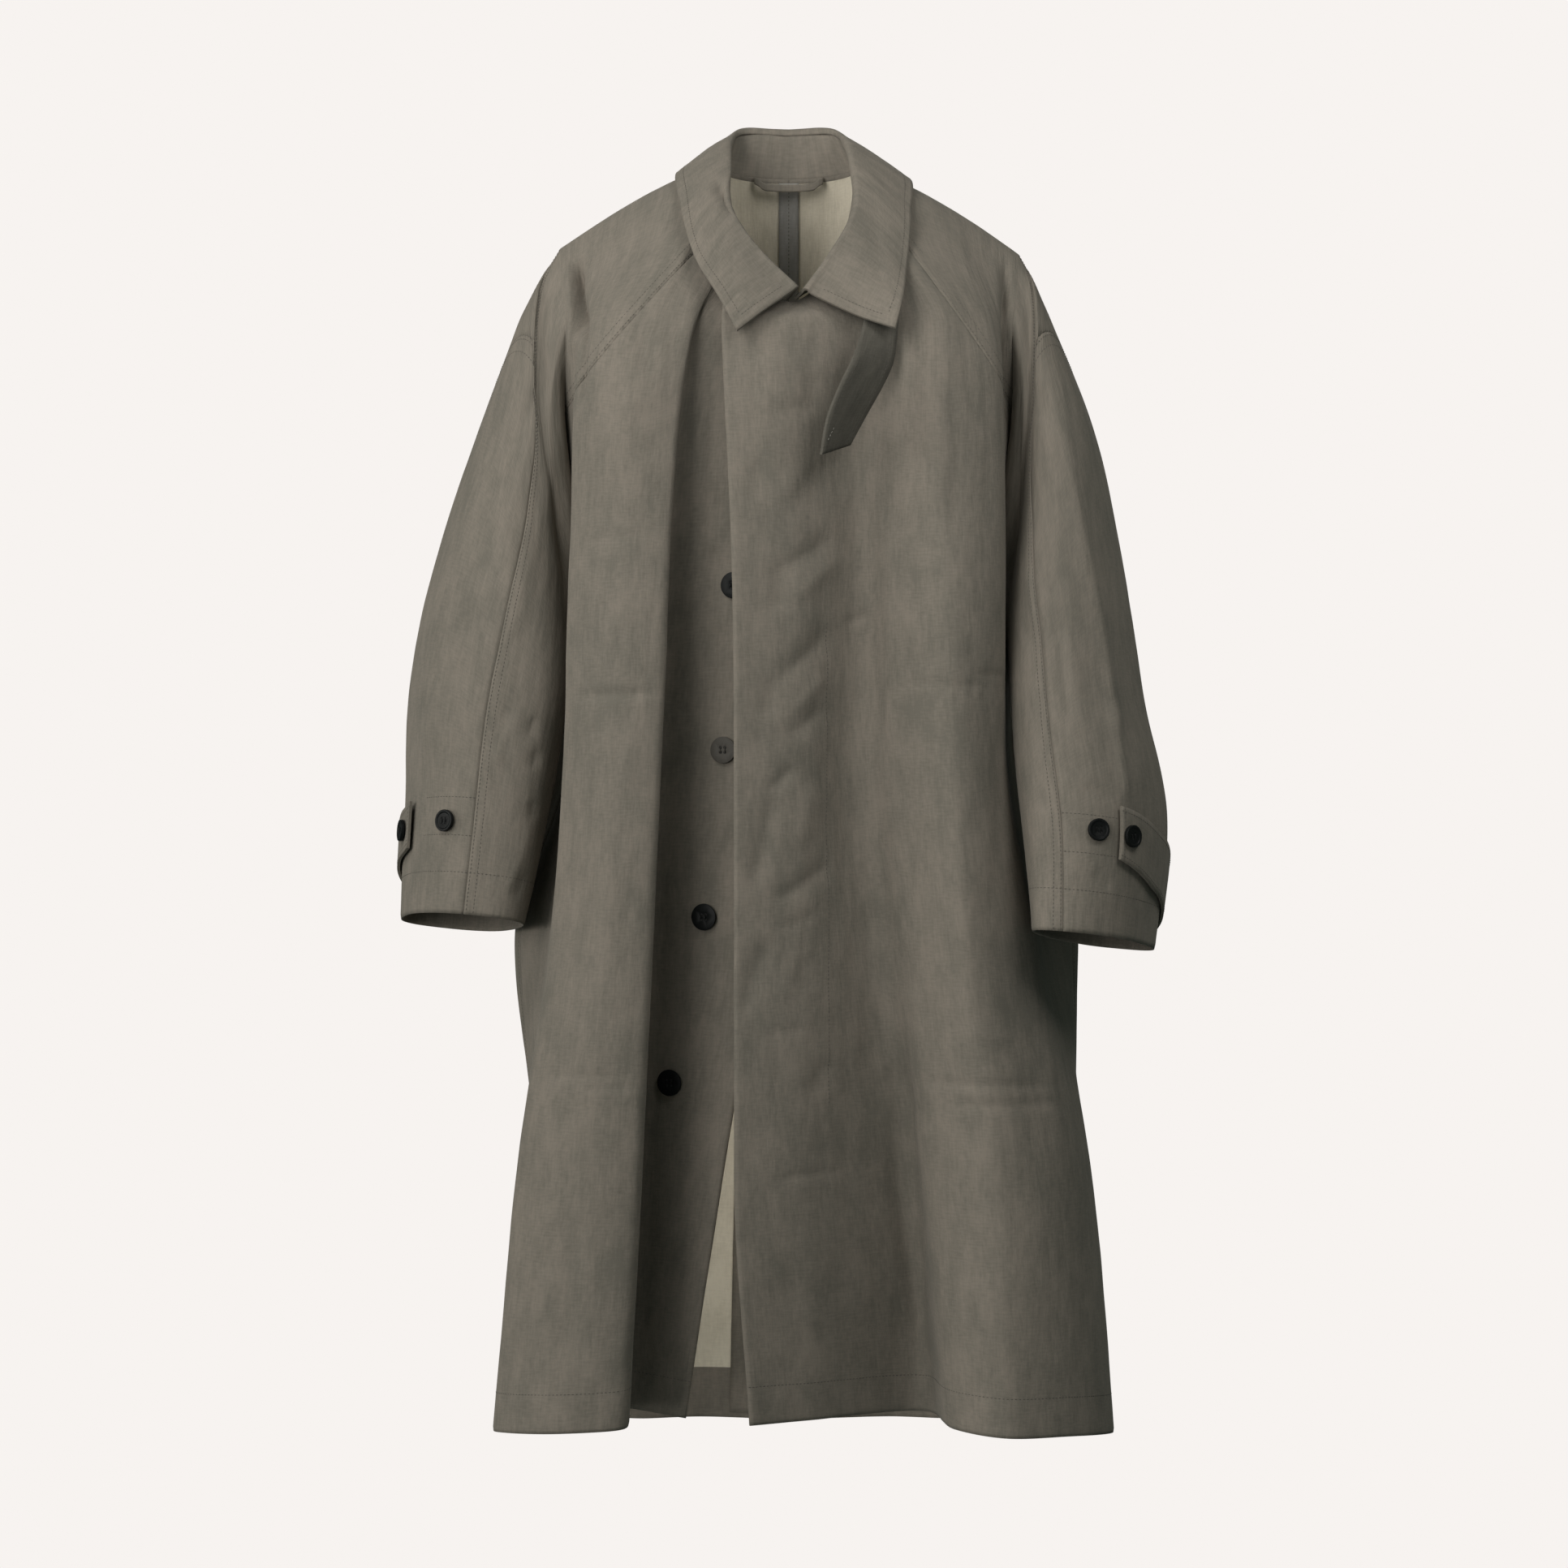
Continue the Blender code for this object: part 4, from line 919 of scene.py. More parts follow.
def apply_modifier(thing, kind, **settings):
    """Add a modifier and apply it."""
    select_only(thing)
    modifier = thing.modifiers.new(kind.lower(), kind)
    for key, value in settings.items():
        setattr(modifier, key, value)
    bpy.ops.object.modifier_apply(modifier=modifier.name)


def cloth_piece(name, bm, thickness, face, inside, turn_up=None):
    """Walled cloth object from a sheet; past the turn-up its inside shows the face again."""
    mesh = bpy.data.meshes.new(name)
    bm.to_mesh(mesh)
    bm.free()
    made = add_mesh(name, mesh)
    for slot in range(ALLOWANCE_SLOT + RIM_SLOT + 1):
        mesh.materials.append(inside if slot == INSIDE_SLOT else face)
    slots = {"material_offset": INSIDE_SLOT, "material_offset_rim": RIM_SLOT}
    apply_modifier(made, "SOLIDIFY", thickness=thickness * MM, offset=0.0, **slots)
    bpy.ops.object.shade_smooth()
    made.select_set(False)
    cut = made.data.uv_layers["cut"].data
    for polygon in made.data.polygons:
        slot = polygon.material_index
        polygon.use_smooth = slot not in (RIM_SLOT, ALLOWANCE_SLOT + RIM_SLOT)
        turned = turn_up is not None and cut[polygon.loop_start].uv.y > turn_up
        polygon.material_index = INSIDE_SLOT if slot == INSIDE_SLOT and not turned else 0
    while len(made.data.materials) > RIM_SLOT:
        made.data.materials.pop()
    return made


# %% [markdown]
# Body and sleeves
#
# Each side is drawn once as three grids, the front, the back and the sleeve, and then cut into
# its pieces. The raglan seam runs straight from the neck to the armhole in front, so the
# front's upper corner belongs to the sleeve. The back runs over the shoulder to a dropped seam.

# %% Sew the body
row_places = spread(ROW_SPANS)
ring_places = spread(RING_SPANS)
BODY_AXIS_Y = 10.0
TURN_UP = 42.0
SLEEVE_HALVES = {"front": slice(0, ARMHOLE_ROWS + 1), "outer": slice(ARMHOLE_ROWS, None)}
pieces = {}
grids = {}
seam_planes = {}


def body_centre(grid):
    """Point inside the body at each point's height."""
    centre = np.zeros_like(grid)
    centre[..., 1] = BODY_AXIS_Y
    centre[..., 2] = grid[..., 2]
    return centre


for side, word in SIDES:
    front_spans = FRONT_RIGHT_SPANS if side < 0 else FRONT_LEFT_SPANS
    plain_front = fold_sheet(front_folds(side), spread(front_spans), row_places)
    plain_back = fold_sheet(back_folds(side), spread(BACK_SPANS), row_places)
    loop = np.concatenate((plain_front[-1, ARMHOLE_ROWS::-1], plain_back[-1, 1 : ARMHOLE_ROWS + 1]))
    plain_sleeve = sleeve_sheet(side, loop, 2 * ARMHOLE_ROWS, ring_places)
    plain_sleeve = lay_on_body(side, plain_sleeve, ring_places)
    front, front_normal = press(
        plain_front, body_centre(plain_front), ((0, True), (1, False)), CREASES[f"front_{word}"], -1
    )
    back, back_normal = press(
        plain_back, body_centre(plain_back), ((0, False), (0, True), (1, False)), CREASES["back"], 1
    )
    sleeve_middle = np.broadcast_to(plain_sleeve.mean(axis=0)[None], plain_sleeve.shape)
    sleeve, sleeve_normal = press(
        plain_sleeve, sleeve_middle, ((0, False), (0, True), (1, False)), CREASES[f"sleeve_{word}"], -1
    )
    grids[f"front_{word}"] = (front, front_normal)
    grids[f"back_{word}"] = (back, back_normal)
    grids[f"sleeve_{word}"] = (sleeve, sleeve_normal)

    armhole_end = plain_front[-1, RAGLAN_END_ROW]
    neck_x, neck_z = RAGLAN_NECK_END[side]
    run = np.array((armhole_end[0] - neck_x, 0.0, armhole_end[2] - neck_z))
    raglan = unit(np.cross(run, (0.0, 1.0, 0.0)) * side)
    raglan = raglan * np.sign(raglan[2])
    seam_planes[f"raglan_{word}"] = (armhole_end, raglan)
    below = keep_side(sheet_bmesh(front, front_normal), armhole_end, raglan, False)
    above = keep_side(sheet_bmesh(front, front_normal), armhole_end, raglan, True)

    back_end = plain_back[-1, BACK_ARMHOLE_ROW]
    height = BACK_ARMHOLE_HEIGHT[side]
    table = ring_table(side)
    outer_x = np.interp(-height, [-row[1] for row in table], [row[0] for row in table])
    seam_run = BACK_ARMHOLE_RUN
    across = np.array((-side * seam_run["in"], -seam_run["forward"], -seam_run["down"]))
    dropped = unit(np.cross(across, back_end - np.array((outer_x, 0.0, height))))
    dropped = dropped * np.sign(dropped[2])
    seam_planes[f"dropped_{word}"] = (back_end, dropped)
    half = SLEEVE_HALVES["outer"]
    upper = keep_side(sheet_bmesh(sleeve[half], sleeve_normal[half]), back_end, dropped, True)
    lower = keep_side(sheet_bmesh(sleeve[half], sleeve_normal[half]), back_end, dropped, False)
    half = SLEEVE_HALVES["front"]
    sheets = {
        f"front_{word}": join_sheets(below),
        f"sleeve_front_{word}": join_sheets(above, sheet_bmesh(sleeve[half], sleeve_normal[half])),
        f"back_{word}": join_sheets(sheet_bmesh(back, back_normal), upper),
        f"sleeve_back_{word}": join_sheets(lower),
    }
    for name, bm in sheets.items():
        turn_edges(bm)
        grid = sleeve if name.startswith("sleeve") else back if name.startswith("back") else front
        turn_up = cut_map(grid)[0, -1, 1] - TURN_UP * MM
        pieces[name] = cloth_piece(name + "_cloth", bm, CLOTH, outer_cloth, inner_cloth, turn_up)
print("panels:", {name: len(piece.data.polygons) for name, piece in pieces.items()})

# %% [markdown]
# Collar
#
# The collar has a stand, which rises from the neckline, and a fall, which turns over at the roll line.
# Stations round the neck give the roll line and the outer edge. The fall's section is one short
# table: it leaves the stand just below the roll, turns over and falls to the edge with
# a slight bulge.

# %% Turn the collar
# Columns: place on the neckline, roll line x, y, z, outer edge x, y, z
COLLAR_RIGHT = (
    (2.00, 0, 66, 32, 0, 92, -24),
    (1.45, -40, 60, 32, -61, 86, -22),
    (1.00, -49, 28, 15, -95, 26, -11),
    (-0.18, -50, -8, -14, -92, -41, -50),
    (-0.50, -47, -57, -56, -78, -94, -102),
    (-0.80, -20, -92, -98, -58, -126, -138),
    (-0.97, 8, -112, -127, -43, -138, -167),
)
COLLAR_LEFT = (
    (2.00, 0, 66, 32, 0, 92, -24),
    (1.45, 36, 60, 32, 58, 86, -22),
    (1.00, 48, 28, 13, 103, 24, -15),
    (-0.18, 53, -7, -12, 104, -39, -55),
    (-0.50, 54, -57, -57, 99, -90, -106),
    (-0.80, 34, -92, -97, 94, -128, -140),
    (-0.97, 13, -114, -129, 88, -140, -165),
)
COLLAR_SPANS = (10,) * 12
STAND_SEAM_DROP = 4.5
STAND_RISE_BACK = -1.6
STAND_RISE_FRONT = 4.8
STAND_FRONT_Y = (25.0, -15.0)
STAND_LAP = 2.1
NECK_MIDDLE = np.array((0.0, 20.0))
STAND_ROWS = 12
# Columns: up, out, down, share of the way down, bulge
FALL_SECTION = (
    (-STAND_SEAM_DROP, 0.0, 0.0, 0.0, 0.0),
    (-1.6, 0.0, 0.0, 0.0, 0.0),
    (1.2, 2.4, 0.0, 0.0, 0.0),
    (0.0, 5.7, 2.0, 0.0, 0.0),
    (0.0, 3.9, 0.0, 0.30, 2.1),
    (0.0, 0.0, 0.0, 0.66, 3.5),
    (0.0, 0.0, 0.0, 1.00, 0.0),
)
FALL_SPANS = (2, 2, 3, 6, 8, 8)
COLLAR_FACING = {"collar_stand": 1, "collar_fall": -1}


def collar_stations():
    """Base, roll and outer edge from the right front end round the back to the left front end."""
    rows = []
    for side, table in ((-1, COLLAR_RIGHT[::-1]), (1, COLLAR_LEFT[1:])):
        for row in table:
            place = row[0]
            base = back_top_point(2.0 - place, side) if place >= 1.0 else top_point(place, side)
            rows.append((base, row[1:4], row[4:7]))
    return np.array(rows, float)


stations = collar_stations()
lengths = np.linalg.norm(np.diff(stations[:, 1:, :], axis=0), axis=2).mean(axis=1)
around = np.concatenate(([0.0], np.cumsum(lengths)))
places = np.interp(spread(COLLAR_SPANS), np.arange(len(stations), dtype=float), around)
smooth = hermite(around, stations, places)
base, roll, edge = smooth[:, 0], smooth[:, 1], smooth[:, 2]
up = unit(roll - base)
out = edge - base
out = unit(out - np.sum(out * up, axis=1, keepdims=True) * up)
down = unit(edge - roll)
away = unit(out - np.sum(out * down, axis=1, keepdims=True) * down)
reach = np.linalg.norm(edge - roll, axis=1, keepdims=True)

seam = roll - up * STAND_SEAM_DROP
front_share = smoothstep((STAND_FRONT_Y[0] - base[:, 1:2]) / (STAND_FRONT_Y[0] - STAND_FRONT_Y[1]))
foot = base + up * (STAND_RISE_BACK + (STAND_RISE_FRONT - STAND_RISE_BACK) * front_share)
foot[:, :2] += unit(base[:, :2] - NECK_MIDDLE) * STAND_LAP * (1 - front_share)
stand = np.stack([foot + (seam - foot) * share for share in np.linspace(0.0, 1.0, STAND_ROWS)], axis=1)
section = hermite(np.arange(len(FALL_SECTION)), FALL_SECTION, spread(FALL_SPANS))
fall = np.stack(
    [roll + up * a + out * b + down * (c + d * reach) + away * e for a, b, c, d, e in section], axis=1
)
for name, plain in (("collar_stand", stand), ("collar_fall", fall)):
    made, normal = press(plain, body_centre(plain), ((1, False),), CREASES[name], COLLAR_FACING[name])
    grids[name] = (made, normal)
    sheet = sheet_bmesh(made, normal)
    pieces[name] = cloth_piece(name + "_cloth", sheet, COLLAR_CLOTH, outer_cloth, outer_cloth)
print("collar faces:", len(pieces["collar_fall"].data.polygons))

# %% [markdown]
# Straps, tab and small strips
#
# Straps and the throat tab are narrow double strips, so each is a grid between two long edges. The
# tab hangs on edge from under the collar. The hanger loop is a strip whose ends fold up into
# the neck seam. A dark tape covers the centre back seam inside.

# %% Lay the strips
THROAT_TAB = (
    (64, -116, -142, 92, -115, -142),
    (62, -122, -156, 91, -118, -158),
    (58, -140, -174, 89, -123, -174),
    (52, -154, -192, 86, -127, -192),
    (41, -164, -216, 77, -131, -212),
    (31, -170, -243, 63, -134, -237),
    (26, -171, -272, 50, -137, -261),
)
TAB_SPANS = (6, 6, 8, 8, 8, 8)
LOOP = {"half_width": 30.0, "strip": 6.5, "stand_off": 8.0, "cloth": 1.4, "steps": 37, "across": 5}
LOOP_HALF = ((1.0, -0.5, 2.0), (0.86, 0.5, 4.5), (0.66, 0.5, 8.0), (0.0, 0.0, 9.0))
TAPE = {"width": 17.5, "cloth": 0.8, "gap": 0.9, "rows": (0.05, 5.5), "steps": 90, "across": 7}
VENT = {"width": 50.0, "gap": 0.6, "rows": (5.55, 6.98), "steps": 60, "across": 12}
STRAP_WIDTH = 0.42
STRAP_RIGHT = {"end_deg": 169.0, "anchor_deg": 270.0, "end_t": 5.18, "anchor_t": 5.62}
STRAP_LEFT = {"end_deg": 130.0, "anchor_deg": 240.0, "end_t": 5.19, "anchor_t": 5.66}
STRAP_STAND_OFF = (5.0, 2.6)
STRAP_STEPS = 40
STRAP_ACROSS = 13
TAB_ACROSS = 10
CUFF_ROW = -20
BEHIND = np.array((0.0, 9.0, 0.0))


def strip(name, grid, centre, thickness, cloth=outer_cloth):
    """Narrow cloth strip from a grid, kept with its normals for the stitching."""
    normal = grid_normals(grid, centre)
    grids[name] = (grid, normal)
    pieces[name] = cloth_piece(name + "_cloth", sheet_bmesh(grid, normal), thickness, cloth, cloth)


shares = np.linspace(0.0, 1.0, TAB_ACROSS)
tab_edges = hermite(np.arange(len(THROAT_TAB)), np.reshape(THROAT_TAB, (-1, 2, 3)), spread(TAB_SPANS))
tab_width = tab_edges[:, 1] - tab_edges[:, 0]
tab = np.stack([tab_edges[:, 0] + tab_width * share for share in shares], axis=0)
# the tab takes the darkened cotton, which paints the shade on its turned face
strip("throat_tab", tab, body_centre(tab), STRAP_CLOTH, tab_painted_shade_cloth)

loop_path = []
for side, half in ((-1, LOOP_HALF), (1, LOOP_HALF[-2::-1])):
    for share, forward, drop in half:
        x = side * share * LOOP["half_width"]
        loop_path.append((x, NECK["back_y"] - LOOP["stand_off"] - forward, NECK["back_z"] - drop))
loop_knots = np.arange(len(loop_path))
loop_path = hermite(loop_knots, loop_path, np.linspace(0, loop_knots[-1], LOOP["steps"]), steady=True)
half_strip = np.array((0.0, 0.0, LOOP["strip"] / 2))
loop_places = np.linspace(-1, 1, LOOP["across"])
loop_grid = np.stack([loop_path + half_strip * share for share in loop_places], axis=1)
strip("hanger_loop", loop_grid, loop_grid + BEHIND, LOOP["cloth"])

rows = np.linspace(*TAPE["rows"], TAPE["steps"])
centre_back = fold_sheet(back_folds(1), np.array([0.0]), rows)[0]
run = unit(np.gradient(centre_back, axis=0))
inward = np.stack((np.zeros(len(rows)), run[:, 2], -run[:, 1]), axis=1)
middle = centre_back + inward * (CLOTH / 2 + TAPE["cloth"] / 2 + TAPE["gap"])
tape_places = TAPE["width"] * np.linspace(-0.5, 0.5, TAPE["across"])
tape_grid = np.stack([middle + np.array((place, 0, 0)) for place in tape_places], axis=0)
strip("back_seam_tape", tape_grid, tape_grid + BEHIND, TAPE["cloth"], tape_cloth)

rows = np.linspace(*VENT["rows"], VENT["steps"])
ridge_away = (BACK["ridge"][-2][0] + BACK["ridge"][-1][0]) / 2
vent_places = np.linspace(0.0, VENT["width"] / ridge_away, VENT["across"])
vent_grid = fold_sheet(back_folds(-1), vent_places, rows)
vent_grid[..., 1] -= CLOTH + VENT["gap"]
strip("vent_underlap", vent_grid, vent_grid + BEHIND, CLOTH)


def strap_point(side, strap, share, offset):
    """Point on a cuff strap at a share of its length and an offset across it."""
    degrees = strap["end_deg"] + (strap["anchor_deg"] - strap["end_deg"]) * share
    t = strap["end_t"] + (strap["anchor_t"] - strap["end_t"]) * share
    stand_off = STRAP_STAND_OFF[0] + (STRAP_STAND_OFF[1] - STRAP_STAND_OFF[0]) * share
    place, normal = surface_normal(side, math.radians(degrees), t + offset * STRAP_WIDTH)
    return place + normal * stand_off


offsets = np.linspace(-0.5, 0.5, STRAP_ACROSS)
for side, word in SIDES:
    strap = STRAP_RIGHT if side < 0 else STRAP_LEFT
    strap_grid = []
    for share in np.linspace(0.0, 1.0, STRAP_STEPS):
        strap_grid.append([strap_point(side, strap, share, offset) for offset in offsets])
    strap_grid = np.array(strap_grid)
    sleeve_grid = grids[f"sleeve_{word}"][0]
    inside_sleeve = np.broadcast_to(sleeve_grid[:, CUFF_ROW].mean(axis=0), strap_grid.shape)
    strip(f"cuff_strap_{word}", strap_grid, inside_sleeve, STRAP_CLOTH)
print("cloth pieces with the strips:", len(pieces))

# %% [markdown]
# Stitching
#
# Topstitching is what makes a coat look sewn. Each line is found on a grid, either at a given distance
# from one edge or at a given distance from a seam's plane, and small lozenge stitches
# are laid along it. All stitches of a group are one joined mesh. The tab's buttonhole is a short line
# of light thread.

# %% Find the stitch lines and lay the thread
THREAD = {"pitch": 3.4, "length": 2.7, "half_width": 0.36, "half_height": 0.26, "start": 0.3, "lift": 0.08}
THREAD_ROUGHNESS = 0.8
# Distances of the lines from their edge or seam
RAGLAN_STITCH = (2.0, 8.0)
DROPPED_STITCH = (-2.0, -8.0)
SLEEVE_STITCH = (2.0, 8.0)
HEM_STITCH = 32.0
CUFF_STITCH = 35.0
CENTRE_STITCH = 4.0
SIDE_STITCH = 5.0
FLY_STITCH = 84.0
COLLAR_STITCH = 9.0
TAB_STITCH = 6.0
STRAP_STITCH = 4.0
PATCH_STITCH = (66.0, 98.0)
PATCH_REACH = {-1: 62.0, 1: 52.0}
# Heights that a line keeps to
SIDE_HEIGHTS = (-1200.0, -360.0)
FLY_HEIGHTS = (-812.0, -405.0)
# Rows of the collar's fall: below the roll, and near the edge
BELOW_ROLL = 9
NEAR_EDGE = -6
TAB_BUTTONHOLE = np.array(((32.0, -261.0), (37.0, -247.0)))
stitch_groups = {}


def lay(group, points, normals, wall):
    """Keep one stitch line on the outer face of a wall."""
    stitch_groups.setdefault(group, []).append((points + normals * (wall / 2 + THREAD["lift"]), normals))


def cross_lines(grid, normal, field, level, axis):
    """Points where a field on the grid passes a level, looking along one axis."""
    points = []
    normals = []
    if axis == 0:
        grid, normal, field = grid.swapaxes(0, 1), normal.swapaxes(0, 1), field.swapaxes(0, 1)
    for line, facing, values in zip(grid, normal, field):
        hits = np.nonzero((values[:-1] - level) * (values[1:] - level) <= 0)[0]
        if len(hits) == 0:
            continue
        i = hits[0]
        share = (level - values[i]) / (values[i + 1] - values[i] + 1e-9)
        points.append(line[i] + (line[i + 1] - line[i]) * share)
        normals.append(facing[i])
    return np.array(points), np.array(normals)


def edge_line(group, name, axis, at_end, inset, wall, heights=None):
    """Stitch line at a distance from one edge, kept between two heights if they are given."""
    grid, normal = grids[name]
    points, normals = cross_lines(grid, normal, edge_distance(grid, axis, at_end), inset, axis)
    if heights is not None:
        kept = (points[:, 2] > heights[0]) & (points[:, 2] < heights[1])
        points, normals = points[kept], normals[kept]
    lay(group, points, normals, wall)


def line_lengths(points):
    """Length along a line up to each of its points."""
    return np.concatenate(([0.0], np.cumsum(np.linalg.norm(np.diff(points, axis=0), axis=1))))


def plane_distance(points, plane):
    """Signed distance of points from a seam's plane."""
    return (points - plane[0]) @ plane[1]


for side, word in SIDES:
    front_grid, front_facing = grids[f"front_{word}"]
    distance = plane_distance(front_grid, seam_planes[f"raglan_{word}"])
    for level in RAGLAN_STITCH:
        points, normals = cross_lines(front_grid, front_facing, distance, level, 1)
        lay("body", points, normals, CLOTH)
    edge_line("body", f"front_{word}", 1, True, HEM_STITCH, CLOTH)
    edge_line("body", f"back_{word}", 1, True, HEM_STITCH, CLOTH)
    edge_line("body", f"back_{word}", 0, False, CENTRE_STITCH, CLOTH)
    edge_line("body", f"back_{word}", 0, True, SIDE_STITCH, CLOTH, SIDE_HEIGHTS)

    whole, facing = grids[f"sleeve_{word}"]
    distance = plane_distance(whole, seam_planes[f"dropped_{word}"])
    for part, columns in SLEEVE_HALVES.items():
        grids[f"sleeve_{part}_{word}"] = (whole[columns], facing[columns])
    grid, normal = grids[f"sleeve_outer_{word}"]
    for level in DROPPED_STITCH:
        points, normals = cross_lines(grid, normal, distance[SLEEVE_HALVES["outer"]], level, 1)
        lay("sleeves", points, normals, CLOTH)
    for inset in SLEEVE_STITCH:
        edge_line("sleeves", f"sleeve_front_{word}", 0, True, inset, CLOTH)
    for part in SLEEVE_HALVES:
        edge_line("sleeves", f"sleeve_{part}_{word}", 1, True, CUFF_STITCH, CLOTH)
    for inset in PATCH_STITCH:
        points, normals = cross_lines(grid, normal, edge_distance(grid, 1, True), inset, 1)
        run = line_lengths(points)
        lay("sleeves", points[run < PATCH_REACH[side]], normals[run < PATCH_REACH[side]], CLOTH)

edge_line("body", "front_left", 0, False, FLY_STITCH, CLOTH, FLY_HEIGHTS)
grid, normal = grids["collar_fall"]
from_ends = np.minimum(edge_distance(grid, 0, False), edge_distance(grid, 0, True))
from_edge = edge_distance(grid, 1, True)
points, normals = cross_lines(grid, normal, from_edge, COLLAR_STITCH, 1)
inside_ends = from_ends[:, NEAR_EDGE] > COLLAR_STITCH
lay("collar", points[inside_ends], normals[inside_ends], COLLAR_CLOTH)
for at_end in (False, True):
    from_end = edge_distance(grid, 0, at_end)[:, BELOW_ROLL:]
    points, normals = cross_lines(grid[:, BELOW_ROLL:], normal[:, BELOW_ROLL:], from_end, COLLAR_STITCH, 0)
    kept = from_edge[-1 if at_end else 0, BELOW_ROLL:][: len(points)] > COLLAR_STITCH
    lay("collar", points[kept], normals[kept], COLLAR_CLOTH)
for at_end in (False, True):
    edge_line("tab", "throat_tab", 0, at_end, TAB_STITCH, STRAP_CLOTH)
edge_line("tab", "throat_tab", 1, True, TAB_STITCH, STRAP_CLOTH)
for side, word in SIDES:
    for at_end in (False, True):
        edge_line("straps", f"cuff_strap_{word}", 1, at_end, STRAP_STITCH, STRAP_CLOTH)
    edge_line("straps", f"cuff_strap_{word}", 0, False, STRAP_STITCH, STRAP_CLOTH)
tape, tape_facing = grids["back_seam_tape"]
lay("tape", tape[len(tape) // 2], tape_facing[len(tape) // 2], TAPE["cloth"])


def worked_line(group, name, ends, wall):
    """Straight buttonhole worked in a strip between two places seen from the front."""
    grid, normal = grids[name]
    near = [np.linalg.norm(grid[..., [0, 2]] - place, axis=-1).argmin() for place in ends]
    first, last = grid.reshape(-1, 3)[near]
    facing = np.broadcast_to(normal.reshape(-1, 3)[near].mean(axis=0), (2, 3))
    lay(group, np.array((first, last)), facing, wall)


worked_line("buttonholes", "throat_tab", TAB_BUTTONHOLE, STRAP_CLOTH)


def plain_material(name, colour, roughness, specular=0.5):
    """Material of one colour, for thread and horn."""
    made, tree, shader = principled(name)
    shader.inputs["Base Color"].default_value = (*colour, 1.0)
    shader.inputs["Roughness"].default_value = roughness
    shader.inputs["Specular IOR Level"].default_value = specular
    return made


def read_along(table, run, places):
    """Points or directions of a line at places along it."""
    return np.stack([np.interp(places, run, table[:, k]) for k in range(3)], axis=-1)


# A lozenge: its ends are 0 and 1, its sides 2 and 3, its top 4 and its foot 5
LOZENGE_POINTS = 6
LOZENGE = np.array(((0, 2, 4), (2, 1, 4), (1, 3, 4), (3, 0, 4), (2, 0, 5), (1, 2, 5), (3, 1, 5), (0, 3, 5)))


def stitch_mesh(name, lines, material, size):
    """Small lozenges along lines, as one joined mesh."""
    corners = []
    for points, normals in lines:
        if len(points) < 2:
            continue
        run = line_lengths(points)
        starts = np.arange(size["start"], run[-1] - size["length"], size["pitch"])
        ends = starts + size["length"]
        first = read_along(points, run, starts)
        last = read_along(points, run, ends)
        facing = unit(read_along(normals, run, (starts + ends) / 2))
        middle = (first + last) / 2
        aside = unit(np.cross(last - first, facing)) * size["half_width"]
        lift = facing * size["half_height"]
        lozenge = (first, last, middle + aside, middle - aside, middle + lift, middle - lift)
        corners.append(np.stack(lozenge, axis=1))
    corners = np.concatenate(corners)
    faces = (np.arange(len(corners))[:, None, None] * LOZENGE_POINTS + LOZENGE[None]).reshape(-1, 3)
    mesh = bpy.data.meshes.new(name)
    mesh.from_pydata((corners.reshape(-1, 3) * MM).tolist(), [], faces.tolist())
    mesh.materials.append(material)
    return add_mesh(name, mesh), len(corners)


thread = plain_material("coat_thread", (0.085, 0.078, 0.066), THREAD_ROUGHNESS)
light_thread = plain_material("buttonhole_thread", (0.420, 0.400, 0.360), THREAD_ROUGHNESS)
stitching = {}
for group, lines in stitch_groups.items():
    colour = light_thread if group == "buttonholes" else thread
    stitching[group], count = stitch_mesh(f"stitching_{group}", lines, colour, THREAD)
    print("stitches:", group, count)

# %% [markdown]
# Buttons
#
# A turned four-hole button starts as a cylinder. Its face is inset for the rim and sunk for the dish,
# four small cylinders are cut out of it, and a bevel softens its edges. Dark thread fills the holes, and
# two short bars join them in pairs. One is modelled for each size, and copies with their own mesh
# go to the places of the imported buttons, whose flattest direction is their axis.

# %% Turn the buttons
# painted reflection: this button is made grey to stand for the lamp's reflection on its dark face
REFLECTING_BUTTON_NODE = "front_button_2"
BUTTON_SIZES = {
    "front": {"radius": 12.5, "thick": 4.0, "rim": 1.7, "dish": 1.3, "hole": 1.15, "apart": 2.0},
    "cuff": {"radius": 9.25, "thick": 3.4, "rim": 1.8, "dish": 0.8, "hole": 0.9, "apart": 1.8},
}
HORN_SPECULAR = 0.12
DISH_SLOPE = 0.8
BEVEL = {"width": 0.35, "angle": 35.0}
HOLES = ((-1, -1), (-1, 1), (1, -1), (1, 1))
# Shares of the button's thickness, dish and hole spacing
PLUG = {"height": 0.4, "depth": 0.3}
BAR = {"radius": 0.4, "sunk": 0.55, "length": 2.2}


def add_post(vertices, radius, depth, place, turn=(0.0, 0.0, 0.0)):
    """New cylinder."""
    bpy.ops.mesh.primitive_cylinder_add(
        vertices=vertices, radius=radius, depth=depth, location=place, rotation=turn
    )
    return bpy.context.object


